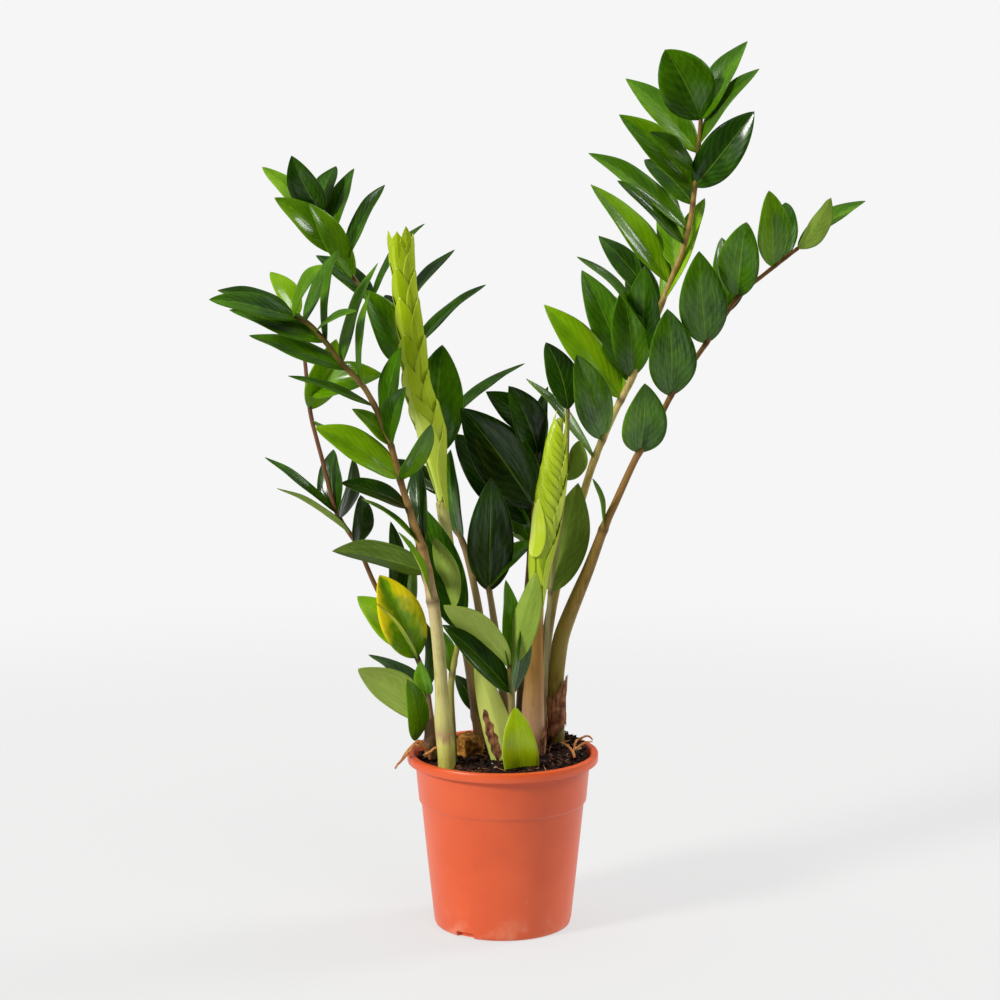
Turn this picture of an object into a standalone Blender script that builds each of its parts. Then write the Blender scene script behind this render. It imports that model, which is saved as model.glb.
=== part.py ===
import math

import bmesh
import bpy
from mathutils import Vector

for thing in list(bpy.data.objects):
    bpy.data.objects.remove(thing, do_unlink=True)

MM = 0.001

# Pot, mm
RIM_RADIUS = 85.0
RIM_TOP = 156.5
RIM_BAND = 8.5
BODY_TOP_RADIUS = 77.6
STEP_HEIGHT = 112.0
STEP_RADIUS = 74.5
FOOT_RADIUS = 61.0
WALL = 1.6
FLOOR = 8.0
NOTCH_WIDTH = 18.0
NOTCH_HEIGHT = 5.5
NOTCH_TURNS = (-123.0, -3.0, 117.0)
DRAIN_RADIUS = 4.0

# Soil, mm
SOIL_LEVEL = 153.0
SOIL_GAP = 0.5
ROOT_DEPTH = 128.0

# Leaves, mm
LEAF_THICK = 0.9
LEAF_ROWS = (0.0, 0.13, 0.42, 0.76, 1.0)
STALK_SIDES = 8

# The plant is laid out on the upright plane through the middle of the pot.
# Depth carries a point along the line to a spot this far in front and this high.
FRONT_REACH = 2200.0
FRONT_HEIGHT = 705.0


def laid(across, depth, up):
    grow = (FRONT_REACH + depth) / FRONT_REACH
    height = FRONT_HEIGHT + (up - FRONT_HEIGHT) * grow
    return Vector((across * grow, depth, height)) * MM


parts = bpy.data.collections.new("potted_zz_plant")
cutters = bpy.data.collections.new("cutters")
for group in (parts, cutters):
    bpy.context.scene.collection.children.link(group)
cutters.hide_render = True


def paint(name, colour, rough, metal=0.0):
    look = bpy.data.materials.new(name)
    look.use_nodes = True
    shader = look.node_tree.nodes["Principled BSDF"]
    shader.inputs["Base Color"].default_value = (*colour, 1.0)
    shader.inputs["Roughness"].default_value = rough
    shader.inputs["Metallic"].default_value = metal
    look.diffuse_color = (*colour, 1.0)
    return look


TERRACOTTA = (0.66, 0.15, 0.05)
PEAT = (0.035, 0.018, 0.012)
TUBER = (0.32, 0.17, 0.05)
DRY = (0.28, 0.12, 0.06)
LEAF_DARK = (0.02, 0.09, 0.015)
LEAF_MID = (0.06, 0.19, 0.02)
LEAF_BRIGHT = (0.16, 0.34, 0.03)
LEAF_PALE = (0.26, 0.36, 0.17)
LEAF_YELLOW = (0.42, 0.42, 0.03)
STALK_PALE = (0.42, 0.42, 0.16)
STALK_BROWN = (0.22, 0.15, 0.06)
SHOOT = (0.36, 0.56, 0.04)


def put(name, mesh, colour=None, rough=0.45, home=None, smooth=True):
    item = bpy.data.objects.new(name, mesh)
    (home or parts).objects.link(item)
    if colour is not None:
        mesh.materials.clear()
        mesh.materials.append(paint(name + "_look", colour, rough))
    if smooth:
        for face in mesh.polygons:
            face.use_smooth = True
    if home is cutters:
        item.hide_render = True
        item.display_type = "WIRE"
    return item


def joined(item, tool, way):
    step = item.modifiers.new(way.title(), "BOOLEAN")
    step.operation = way
    step.solver = "EXACT"
    step.object = tool
    return step


# Revolved pieces: a profile of (radius, height) in mm, turned about the upright axis

def turned(name, profile, steps, colour, rough, home=None):
    mesh = bpy.data.meshes.new(name)
    points = [(radius * MM, 0.0, height * MM) for radius, height in profile]
    edges = [(i, i + 1) for i in range(len(points) - 1)]
    mesh.from_pydata(points, edges, [])
    item = put(name, mesh, colour, rough, home)
    spin = item.modifiers.new("Screw", "SCREW")
    spin.axis = "Z"
    spin.angle = math.radians(360.0)
    spin.steps = steps
    spin.render_steps = steps
    spin.use_merge_vertices = True
    spin.merge_threshold = 0.00005
    spin.use_smooth_shade = True
    return item


def rod(name, centre, radius, low, high, sides=20):
    mesh = bpy.data.meshes.new(name)
    shape = bmesh.new()
    bmesh.ops.create_cone(shape, cap_ends=True, segments=sides, radius1=radius * MM,
                          radius2=radius * MM, depth=(high - low) * MM)
    shape.to_mesh(mesh)
    shape.free()
    item = put(name, mesh, home=cutters)
    item.location = (centre[0] * MM, centre[1] * MM, 0.5 * (low + high) * MM)
    return item


def block(name, size, place, turn):
    mesh = bpy.data.meshes.new(name)
    shape = bmesh.new()
    bmesh.ops.create_cube(shape, size=1.0)
    bmesh.ops.scale(shape, vec=[side * MM for side in size], verts=shape.verts)
    shape.to_mesh(mesh)
    shape.free()
    item = put(name, mesh, home=cutters, smooth=False)
    item.location = [part * MM for part in place]
    item.rotation_euler = (0.0, 0.0, math.radians(turn))
    return item


# ---- Pot

def build_pot():
    inner_top = BODY_TOP_RADIUS - WALL
    inner_foot = FOOT_RADIUS - WALL
    under_rim = RIM_TOP - RIM_BAND
    profile = [
        (0.0, FLOOR),
        (inner_foot, FLOOR),
        (STEP_RADIUS - 2.0 - WALL, STEP_HEIGHT - 1.0),
        (STEP_RADIUS - WALL, STEP_HEIGHT + 1.0),
        (inner_top, under_rim),
        (RIM_RADIUS - 6.2, RIM_TOP - 0.8),
        (RIM_RADIUS - 5.2, RIM_TOP),
        (RIM_RADIUS - 1.3, RIM_TOP),
        (RIM_RADIUS - 0.3, RIM_TOP - 0.5),
        (RIM_RADIUS, RIM_TOP - 1.6),
        (RIM_RADIUS - 0.3, under_rim + 0.8),
        (RIM_RADIUS - 1.2, under_rim),
        (BODY_TOP_RADIUS, under_rim - 0.4),
        (STEP_RADIUS, STEP_HEIGHT + 1.0),
        (STEP_RADIUS - 2.0, STEP_HEIGHT - 1.0),
        (FOOT_RADIUS + 0.2, 4.5),
        (FOOT_RADIUS - 0.8, 1.4),
        (FOOT_RADIUS - 2.6, 0.0),
        (48.0, 0.0),
        (46.0, 5.5),
        (26.0, 5.5),
        (24.0, 0.0),
        (0.0, 0.0),
    ]
    pot = turned("nursery_pot", profile, 36, TERRACOTTA, 0.4)
    for index, turn in enumerate(NOTCH_TURNS):
        angle = math.radians(turn)
        reach = FOOT_RADIUS
        place = (reach * math.cos(angle), reach * math.sin(angle), 0.5 * NOTCH_HEIGHT - 1.0)
        tool = block(f"notch_{index + 1}", (12.0, NOTCH_WIDTH, NOTCH_HEIGHT + 2.0), place, turn)
        joined(pot, tool, "DIFFERENCE")
    for index in range(6):
        angle = math.radians(60.0 * index + 17.0)
        centre = (36.0 * math.cos(angle), 36.0 * math.sin(angle))
        joined(pot, rod(f"drain_{index + 1}", centre, DRAIN_RADIUS, 2.0, 12.0, 12), "DIFFERENCE")
    return pot


# ---- Stalks: route points are (across, depth, up, radius), mm

STALKS = {
    "front_left": [
        (-50, -38, 150, 8.0), (-51, -39, 165, 8.5), (-53, -41, 185, 8.2), (-54, -43, 205, 6.7),
        (-56, -46, 240, 5.9), (-60, -49, 280, 5.4), (-67, -50, 320, 4.6), (-71, -51, 340, 3.9),
        (-78, -52, 360, 3.4), (-84, -53, 380, 3.0), (-90, -54, 400, 2.8), (-101, -56, 440, 2.6),
        (-120, -58, 480, 2.4), (-140, -59, 502, 2.2), (-155, -60, 522, 2.1), (-168, -60, 536, 1.9),
        (-182, -60, 543, 1.6),
    ],
    "far_left": [
        (-64, -8, 154, 5.4), (-64, -8, 166, 5.6), (-65, -8, 182, 4.6), (-66, -7, 202, 2.7),
        (-70, -5, 225, 2.4), (-79, -2, 248, 2.3), (-95, 2, 273, 2.2), (-112, 6, 305, 2.1),
        (-128, 10, 342, 2.0), (-146, 12, 372, 2.0), (-158, 13, 418, 1.9), (-168, 14, 460, 1.8),
        (-172, 14, 503, 1.7), (-177, 14, 545, 1.4),
    ],
    "back_left": [
        (-8, 32, 172, 5.4), (-12, 34, 210, 5.0), (-18, 36, 255, 4.0), (-22, 38, 290, 3.4),
        (-33, 42, 338, 2.8), (-44, 46, 366, 2.5), (-53, 50, 402, 2.4), (-61, 54, 442, 2.3),
        (-73, 58, 482, 2.2), (-88, 62, 520, 2.1), (-108, 66, 552, 2.0), (-129, 70, 576, 1.9),
        (-146, 74, 605, 1.7), (-156, 76, 632, 1.4),
    ],
    "left_shoot": [
        (-19, 24, 172, 7.2), (-23, 22, 200, 6.8), (-28, 20, 235, 6.2), (-36, 18, 275, 5.6),
        (-43, 15, 310, 5.3), (-48, 12, 342, 5.3), (-51, 10, 362, 5.4), (-54, 9, 380, 5.0),
    ],
    "right_shoot": [
        (27, -8, 158, 10.4), (27, -8, 180, 10.3), (27, -8, 200, 9.8), (28, -8, 222, 8.6),
        (28, -8, 260, 7.8), (29, -8, 292, 7.2),
    ],
    "right": [
        (48, 16, 168, 7.2), (47, 16, 200, 7.4), (47, 16, 222, 7.4), (49, 16, 242, 7.4),
        (52, 15, 260, 7.2), (59, 14, 280, 6.6), (67, 12, 300, 6.0), (76, 10, 322, 5.2),
        (90, 6, 360, 3.9), (99, 4, 380, 3.4), (117, 0, 420, 3.0), (130, -2, 440, 2.8),
        (150, -4, 480, 2.4), (177, -6, 520, 2.2), (204, -8, 560, 2.0), (227, -10, 580, 1.8),
        (255, -12, 602, 1.5),
    ],
    "tall_right": [
        (32, 34, 166, 5.8), (34, 34, 200, 5.5), (38, 34, 250, 5.0), (44, 35, 290, 4.5),
        (52, 36, 325, 4.2), (60, 36, 352, 3.9), (70, 36, 385, 3.5), (81, 37, 420, 3.3),
        (98, 38, 460, 3.1), (112, 38, 488, 3.0), (125, 38, 520, 2.8), (140, 38, 560, 2.6),
        (156, 38, 602, 2.4), (164, 38, 640, 2.2), (170, 38, 712, 1.7),
    ],
    "centre_back": [
        (4, 48, 172, 4.5), (0, 48, 212, 4.0), (-6, 48, 262, 3.4), (-10, 48, 290, 2.9),
        (-13, 49, 308, 2.4),
    ],
    "behind_shoot": [
        (15, 56, 172, 4.4), (17, 56, 220, 4.1), (21, 56, 280, 3.7), (25, 56, 340, 3.1),
        (29, 56, 390, 2.7), (32, 56, 440, 2.3), (34, 56, 468, 1.8),
    ],
    "low_front": [
        (9, -42, 160, 3.3), (8, -42, 200, 3.0), (7, -43, 218, 2.7), (6, -44, 234, 2.2),
    ],
    "inner_left": [
        (-44, -18, 162, 3.2), (-46, -18, 208, 2.9), (-44, -18, 232, 2.7), (-40, -18, 252, 2.5),
        (-38, -18, 270, 2.1), (-43, -20, 286, 1.6),
    ],
    "thin_right": [
        (37, 12, 168, 2.4), (38, 12, 200, 2.3), (39, 12, 250, 2.2), (42, 12, 300, 2.1),
        (48, 12, 342, 2.0), (53, 11, 382, 1.9), (56, 10, 420, 1.8), (57, 9, 462, 1.5),
    ],
}

# ---- Leaves: (height where it leaves the stalk, tip across, tip up, tip depth,
#               width, turn of the upper side away from the front, arch), mm and degrees
# A turn of 0 shows the upper side, 90 the edge and 180 the under side.

LEAVES = {
    "front_left": [
        (543, -247, 567, -50, 30, 58, 3, LEAF_MID),
        (541, -254, 559, -96, 32, 60, 4, LEAF_MID),
        (521, -237, 550, -58, 34, 50, 4, LEAF_MID),
        (497, -220, 528, -60, 32, 60, 4, LEAF_MID),
        (465, -186, 493, -100, 28, 74, 3, LEAF_DARK),
        (402, -163, 447, -84, 34, 40, 4, LEAF_BRIGHT),
        (375, -141, 398, -80, 26, 52, 3, LEAF_DARK),
        (446, -90, 516, -86, 28, -55, 3, LEAF_MID),
        (430, -86, 481, -100, 24, -48, 3, LEAF_DARK),
        (399, -62, 448, -86, 26, 130, 3, LEAF_PALE),
        (502, -110, 590, -40, 30, -70, 4, LEAF_MID),
        (538, -143, 603, -4, 28, -68, 4, LEAF_MID),
        (520, -146, 598, -64, 26, -78, 3, LEAF_BRIGHT),
        (484, -117, 565, -92, 28, -76, 3, LEAF_MID),
        (431, -131, 463, -60, 22, 45, 2, LEAF_MID),
        (341, -122, 384, -68, 24, 70, 3, LEAF_MID),
        (543, -157, 588, -104, 24, -65, 3, LEAF_BRIGHT),
        (530, -128, 549, -112, 28, -45, 3, LEAF_BRIGHT),
        (292, -90, 354, -80, 22, 75, 3, LEAF_BRIGHT),
        (338, -75, 417, -20, 26, -40, 3, LEAF_DARK),
        (318, -149, 338, -10, 34, 148, 4, LEAF_PALE),
    ],
    "right": [
        (424, 124, 484, -30, 38, 15, 4, LEAF_DARK),
        (474, 143, 549, -32, 38, 12, 4, LEAF_DARK),
        (520, 170, 599, -34, 42, 10, 4, LEAF_MID),
        (560, 210, 624, -40, 36, -12, 4, LEAF_MID),
        (546, 190, 612, 26, 34, 30, 4, LEAF_MID),
        (586, 230, 651, -38, 32, 30, 3, LEAF_BRIGHT),
        (594, 243, 642, 24, 32, -25, 3, LEAF_DARK),
        (602, 284, 645, -34, 28, 128, 3, LEAF_PALE),
        (602, 312, 644, 2, 28, -60, 3, LEAF_MID),
        (356, 80, 401, -22, 20, 70, 3, LEAF_MID),
    ],
    "far_left": [
        (184, -128, 232, -24, 38, 150, 5, LEAF_PALE),
        (200, -118, 245, 24, 32, 60, 4, LEAF_DARK),
        (166, -84, 221, -34, 26, 35, 4, LEAF_BRIGHT),
        (206, -73, 238, -18, 18, -30, 3, LEAF_MID),
        (212, -67, 273, 6, 26, 62, 3, LEAF_DARK),
        (241, -108, 315, -22, 40, 20, 5, LEAF_YELLOW),
        (238, -111, 292, -56, 26, 98, 3, LEAF_YELLOW),
        (246, -128, 297, 20, 36, 30, 4, LEAF_BRIGHT),
        (272, -97, 363, 12, 26, 45, 3, LEAF_DARK),
        (262, -79, 345, 2, 22, 65, 3, LEAF_BRIGHT),
        (342, -124, 386, -8, 22, 35, 3, LEAF_DARK),
        (452, -145, 446, -16, 12, 60, 2, LEAF_PALE),
        (462, -144, 523, 4, 32, 30, 3, LEAF_BRIGHT),
        (478, -105, 493, -14, 34, -35, 4, LEAF_MID),
        (372, -149, 427, 34, 30, -42, 3, LEAF_DARK),
        (366, -130, 419, -16, 26, 58, 3, LEAF_DARK),
        (370, -207, 421, 4, 26, 67, 3, LEAF_MID),
        (352, -197, 394, -22, 24, 115, 3, LEAF_PALE),
        (545, -201, 582, 22, 24, 40, 3, LEAF_BRIGHT),
    ],
    "back_left": [
        (603, -206, 673, 90, 30, 48, 3, LEAF_BRIGHT),
        (632, -182, 681, 60, 30, -20, 3, LEAF_DARK),
        (598, -196, 646, 52, 28, 38, 3, LEAF_BRIGHT),
        (576, -166, 641, 44, 32, 45, 3, LEAF_BRIGHT),
        (632, -144, 673, 98, 26, -46, 3, LEAF_DARK),
        (613, -129, 671, 92, 28, -60, 3, LEAF_MID),
        (588, -103, 657, 64, 30, -62, 4, LEAF_MID),
        (558, -69, 624, 50, 28, -74, 4, LEAF_DARK),
        (532, -43, 602, 88, 28, -73, 4, LEAF_DARK),
        (508, -16, 572, 44, 28, -70, 4, LEAF_DARK),
        (556, -161, 597, 92, 28, 45, 3, LEAF_DARK),
        (500, -119, 566, 24, 38, 25, 4, LEAF_MID),
        (520, -103, 562, 104, 26, -30, 3, LEAF_DARK),
        (422, -53, 518, 34, 38, -25, 4, LEAF_DARK),
        (345, -47, 426, 26, 28, -50, 3, LEAF_DARK),
        (438, 18, 504, 90, 28, -74, 3, LEAF_DARK),
        (385, -103, 418, 36, 26, 50, 3, LEAF_DARK),
    ],
    "tall_right": [
        (712, 139, 771, 18, 48, 15, 5, LEAF_MID),
        (712, 208, 779, 44, 34, -48, 4, LEAF_BRIGHT),
        (690, 218, 756, 12, 30, -66, 4, LEAF_MID),
        (655, 215, 719, 12, 36, -30, 4, LEAF_DARK),
        (684, 106, 748, 58, 34, 42, 4, LEAF_BRIGHT),
        (652, 101, 717, 20, 34, 38, 4, LEAF_BRIGHT),
        (668, 127, 702, 2, 26, 55, 3, LEAF_MID),
        (640, 122, 679, 76, 28, 30, 3, LEAF_DARK),
        (618, 75, 685, 40, 32, 55, 4, LEAF_BRIGHT),
        (606, 100, 661, 8, 26, 58, 3, LEAF_MID),
        (572, 77, 658, 58, 36, 46, 4, LEAF_BRIGHT),
        (552, 83, 614, 84, 28, 30, 3, LEAF_DARK),
        (530, 113, 599, 66, 26, -40, 3, LEAF_DARK),
        (512, 122, 586, 8, 34, -25, 4, LEAF_DARK),
        (490, 104, 566, 18, 34, 30, 4, LEAF_MID),
        (524, 66, 596, -4, 26, 75, 8, LEAF_MID),
        (486, 69, 584, 70, 36, 20, 4, LEAF_MID),
        (470, 97, 561, 84, 28, -30, 3, LEAF_BRIGHT),
        (472, 37, 554, 28, 36, 35, 4, LEAF_BRIGHT),
        (436, 65, 509, -12, 36, 22, 4, LEAF_DARK),
        (418, 22, 490, 20, 28, 68, 3, LEAF_DARK),
        (556, 173, 646, 66, 28, -45, 3, LEAF_PALE),
        (585, 143, 656, 88, 26, -20, 3, LEAF_BRIGHT),
    ],
    "centre_back": [
        (301, -10, 401, 20, 42, 5, 4, LEAF_DARK),
        (305, 28, 346, 28, 26, -55, 3, LEAF_MID),
    ],
    "behind_shoot": [
        (375, -36, 463, 30, 52, 5, 4, LEAF_DARK),
        (360, -41, 441, 74, 44, 20, 4, LEAF_DARK),
        (436, -14, 478, 46, 30, 30, 3, LEAF_DARK),
        (424, 6, 482, 24, 34, 20, 3, LEAF_DARK),
        (405, 38, 482, 52, 26, -50, 3, LEAF_DARK),
        (345, 9, 388, 70, 24, -40, 3, LEAF_MID),
        (334, 5, 353, 62, 14, 105, 2, LEAF_PALE),
    ],
    "low_front": [
        (233, -52, 290, -92, 30, 145, 4, LEAF_PALE),
        (210, -52, 271, -72, 30, 40, 4, LEAF_DARK),
        (233, 31, 318, -62, 28, 150, 4, LEAF_MID),
        (228, 4, 311, -30, 26, 50, 3, LEAF_MID),
        (206, 22, 282, -36, 26, 60, 3, LEAF_DARK),
    ],
    "inner_left": [
        (266, -75, 381, -8, 38, 10, 5, LEAF_DARK),
        (286, -60, 350, -36, 26, 160, 3, LEAF_PALE),
        (226, -54, 266, -4, 18, 40, 2, LEAF_MID),
    ],
    "thin_right": [
        (300, 67, 397, 22, 34, 155, 5, LEAF_PALE),
        (400, 69, 435, -6, 24, 140, 3, LEAF_PALE),
        (462, 38, 521, 26, 30, 25, 3, LEAF_DARK),
    ],
    "left_shoot": [
        (190, -42, 226, 42, 18, 20, 2, LEAF_DARK),
    ],
}

# Fronds whose leaves are pieces of their own; the others are one body with their stalk
LOOSE_LEAVED = ("front_left", "right")

STALK_COLOUR = {
    "far_left": LEAF_MID,
    "back_left": LEAF_DARK,
    "tall_right": LEAF_MID,
    "centre_back": LEAF_DARK,
    "behind_shoot": LEAF_DARK,
    "low_front": LEAF_MID,
    "front_left": STALK_PALE,
    "inner_left": LEAF_MID,
    "left_shoot": STALK_PALE,
    "thin_right": LEAF_PALE,
}


def stalk_points(name):
    route = [(laid(across, depth, up), radius * MM) for across, depth, up, radius in STALKS[name]]
    foot = route[0][0].copy()
    foot.z = ROOT_DEPTH * MM
    return [(foot, route[0][1])] + route


def stalk_mesh(name, points, sides=STALK_SIDES):
    curve = bpy.data.curves.new(name, "CURVE")
    curve.dimensions = "3D"
    curve.bevel_depth = 1.0
    curve.bevel_resolution = (sides - 4) // 2
    curve.use_fill_caps = True
    line = curve.splines.new("POLY")
    line.points.add(len(points) - 1)
    for spot, (place, radius) in zip(line.points, points):
        spot.co = (*place, 1.0)
        spot.radius = radius
    item = bpy.data.objects.new(name, curve)
    parts.objects.link(item)
    graph = bpy.context.evaluated_depsgraph_get()
    mesh = bpy.data.meshes.new_from_object(item.evaluated_get(graph))
    shape = bmesh.new()
    shape.from_mesh(mesh)
    bmesh.ops.remove_doubles(shape, verts=shape.verts, dist=0.00001)
    bmesh.ops.recalc_face_normals(shape, faces=shape.faces)
    shape.to_mesh(mesh)
    shape.free()
    bpy.data.objects.remove(item, do_unlink=True)
    return mesh


def leaving_point(name, up):
    route = STALKS[name]
    for low, high in zip(route, route[1:]):
        if low[2] <= up <= high[2]:
            share = (up - low[2]) / (high[2] - low[2])
            across = low[0] + (high[0] - low[0]) * share
            depth = low[1] + (high[1] - low[1]) * share
            return laid(across, depth, up)
    last = route[-1]
    return laid(last[0], last[1], last[2])


def clear_of(points, start, way, room):
    # how far along the leaf's line the stalk is left behind
    reach = 0.0
    while reach < 0.03:
        spot = start + way * reach
        touching = False
        for (low, low_radius), (high, high_radius) in zip(points, points[1:]):
            line = high - low
            share = max(0.0, min(1.0, (spot - low).dot(line) / line.length_squared))
            radius = low_radius + (high_radius - low_radius) * share
            if (spot - (low + line * share)).length < radius + room:
                touching = True
                break
        if not touching:
            return reach
        reach += 0.0005
    return reach


def leaf_frame(base, tip, turn):
    way = (tip - base).normalized()
    eye = laid(0.0, -FRONT_REACH, 0.0)
    toward = (eye - (base + tip) * 0.5).normalized()
    facing = (toward - way * toward.dot(way)).normalized()
    side = way.cross(facing)
    angle = math.radians(turn)
    upper = facing * math.cos(angle) + side * math.sin(angle)
    return way, upper, way.cross(upper)


def half_width(share, width):
    rise = share ** 0.85 * (1.0 - share) ** 0.62
    peak = 0.578 ** 0.85 * 0.422 ** 0.62
    return max(0.5 * width * rise / peak, 1.1 if share < 0.5 else 0.5)


def broad_half(share, width):
    return max(0.5 * width * (1.0 - share ** 1.9) ** 0.8 * (0.84 + 0.32 * share), 0.5)


def leaf_mesh(name, base, tip, width, turn, arch, fold=0.22, rows=LEAF_ROWS, thick=LEAF_THICK,
              outline=half_width):
    way, upper, across = leaf_frame(base, tip, turn)
    shape = bmesh.new()
    grid = []
    for share in rows:
        middle = base.lerp(tip, share) + upper * arch * MM * 4.0 * share * (1.0 - share)
        half = outline(share, width) * MM
        line = []
        for side in (-1.0, 0.0, 1.0):
            line.append(shape.verts.new(middle + across * half * side + upper * fold * half * abs(side)))
        grid.append(line)
    for low, high in zip(grid, grid[1:]):
        for place in range(2):
            shape.faces.new((low[place], low[place + 1], high[place + 1], high[place]))
    bmesh.ops.recalc_face_normals(shape, faces=shape.faces)
    bmesh.ops.solidify(shape, geom=shape.faces[:], thickness=thick * MM)
    bmesh.ops.recalc_face_normals(shape, faces=shape.faces)
    mesh = bpy.data.meshes.new(name)
    shape.to_mesh(mesh)
    shape.free()
    return mesh


def leaf_rough(colour):
    return 0.7 if colour is LEAF_PALE else 0.3


def build_frond(name):
    loose = name in LOOSE_LEAVED
    points = stalk_points(name)
    title = name + ("_stalk" if loose or name.endswith("_shoot") and name != "behind_shoot" else "_frond")
    sides = STALK_SIDES if title.endswith("stalk") else 6
    stalk = put(title, stalk_mesh(title, points, sides), STALK_COLOUR.get(name, STALK_BROWN), 0.5)
    for index, row in enumerate(LEAVES.get(name, [])):
        up, tip_across, tip_up, tip_depth, width, turn, arch, colour = row
        label = f"{name}_leaf_{index + 1:02d}"
        base = leaving_point(name, up)
        tip = laid(tip_across, tip_depth, tip_up)
        if loose:
            way = (tip - base).normalized()
            base = base + way * clear_of(points, base, way, 0.0016)
            put(label, leaf_mesh(label, base, tip, width, turn, arch), colour, leaf_rough(colour))
        else:
            tool = put(label, leaf_mesh(label, base, tip, width, turn, arch), home=cutters)
            joined(stalk, tool, "UNION")
    return stalk


# ---- Wrapped shoots: a core rod with young leaves pressed along it, left and right in turn

SHOOTS = {
    "left_shoot": {
        "route": [(-54, 9, 382), (-60, 8, 420), (-72, 7, 470), (-80, 6, 540), (-85, 5, 590)],
        "core": 3.2, "first": 0.02, "last": 0.72, "count": 8, "reach": 70.0, "width": 19.0, "spread": 8.0,
    },
    "right_shoot": {
        "route": [(29, -8, 294), (33, -9, 325), (38, -10, 365), (43, -10, 405), (46, -10, 430)],
        "core": 4.0, "first": 0.02, "last": 0.68, "count": 6, "reach": 52.0, "width": 22.0, "spread": 7.0,
    },
}


def along(route, share):
    spots = [laid(*spot) for spot in route]
    lengths = [(high - low).length for low, high in zip(spots, spots[1:])]
    wanted = share * sum(lengths)
    for low, high, length in zip(spots, spots[1:], lengths):
        if wanted <= length:
            return low.lerp(high, wanted / length)
        wanted -= length
    return spots[-1] + (spots[-1] - spots[-2]).normalized() * wanted


def build_shoot(name):
    shoot = SHOOTS[name]
    title = name + "_wrap"
    count = shoot["count"]
    route = shoot["route"]
    length = sum((laid(*high) - laid(*low)).length for low, high in zip(route, route[1:]))
    points = []
    for step in range(6):
        share = step / 5.0
        points.append((along(route, share), shoot["core"] * MM * (1.0 - 0.6 * share)))
    points[0] = (along(route, 0.0) + Vector((0.0, 0.0, 0.002)), points[0][1])
    core = put(title, stalk_mesh(title, points, 6), SHOOT, 0.4)
    for index in range(count):
        share = shoot["first"] + (shoot["last"] - shoot["first"]) * index / (count - 1)
        side = 1.0 if index % 2 else -1.0
        shrink = 1.0 - 0.25 * index / count
        base = along(route, share + 0.02)
        reach = shoot["reach"] * MM * shrink
        tip = along(route, share + reach / length)
        tip = tip + Vector((side * shoot["spread"] * MM * shrink, -0.003, 0.0))
        label = f"{name}_wrap_{index + 1}"
        mesh = leaf_mesh(label, base, tip, shoot["width"] * shrink, -28.0 * side, 4.0, 0.5, (0.0, 0.3, 0.7, 1.0))
        joined(core, put(label, mesh, home=cutters), "UNION")
    return core


# ---- Sheaths and dry bits: (base, tip, width, turn, arch, fold, thickness, colour)

BLADES = {
    "front_sheath": ((17, -52, 144), (11, -55, 196), 35, 0, 4, 0.2, 1.2, SHOOT),
    "tall_sheath": ((3, -24, 152), (-23, -22, 238), 29, 10, 5, 0.3, 1.2, SHOOT),
    "dry_flake": ((-4, -46, 150), (-15, -46, 177), 7, 0, 2, 0.3, 0.9, DRY),
    "dry_bract_right": ((44, 0, 186), (54, 3, 224), 15, -10, 3, 0.35, 0.9, DRY),
    "dry_bract_shoot": ((37, -22, 158), (36, -21, 182), 9, -20, 2, 0.35, 0.9, DRY),
}


def build_blade(name):
    base, tip, width, turn, arch, fold, thick, colour = BLADES[name]
    rows = (0.0, 0.25, 0.5, 0.72, 0.88, 1.0)
    outline = broad_half if name.endswith("sheath") else half_width
    mesh = leaf_mesh(name, laid(*base), laid(*tip), width, turn, arch, fold, rows, thick, outline)
    return put(name, mesh, colour, 0.45)


# ---- Root sticks: (across, depth, up, radius)

STICKS = {
    "root_stick_left": [(-66, -20, 156, 1.3), (-74, -22, 169, 1.3), (-84, -24, 158, 1.2), (-95, -26, 141, 1.0)],
    "root_stick_right": [(63, -4, 160, 1.1), (66, 6, 167, 1.1), (75, 12, 171, 1.0), (80, 16, 168, 0.8)],
}


def build_stick(name):
    points = [(laid(across, depth, up), radius * MM) for across, depth, up, radius in STICKS[name]]
    foot = points[0][0].copy()
    foot.z = 0.142
    return put(name, stalk_mesh(name, [(foot, points[0][1])] + points, 6), DRY, 0.8)


# ---- Rhizome tubers: centre and half sizes, mm

TUBERS = {
    "rhizome_left": ((-30, 2, 158), (12, 10, 13)),
    "rhizome_right": ((50, 40, 157), (9, 9, 9)),
}


def ball(name, centre, sizes, extra, colour, home=None):
    mesh = bpy.data.meshes.new(name)
    shape = bmesh.new()
    bmesh.ops.create_icosphere(shape, subdivisions=2, radius=1.0)
    for vert in shape.verts:
        lump = 1.0 + 0.05 * math.sin(5.0 * vert.co.x + 3.0 * vert.co.z) * math.cos(4.0 * vert.co.y)
        vert.co = Vector([part * (size + extra) * lump for part, size in zip(vert.co, sizes)]) * MM
    shape.to_mesh(mesh)
    shape.free()
    item = put(name, mesh, colour, 0.8, home)
    item.location = [part * MM for part in centre]
    return item


# ---- Soil

def soil_height(x, y):
    tilt = 3.2 * x / 76.0 + 3.0 * y / 76.0
    bumps = 1.3 * math.sin(0.16 * x + 0.5) * math.cos(0.14 * y) + 0.9 * math.sin(0.31 * x - 0.23 * y)
    return SOIL_LEVEL + tilt + bumps


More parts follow.
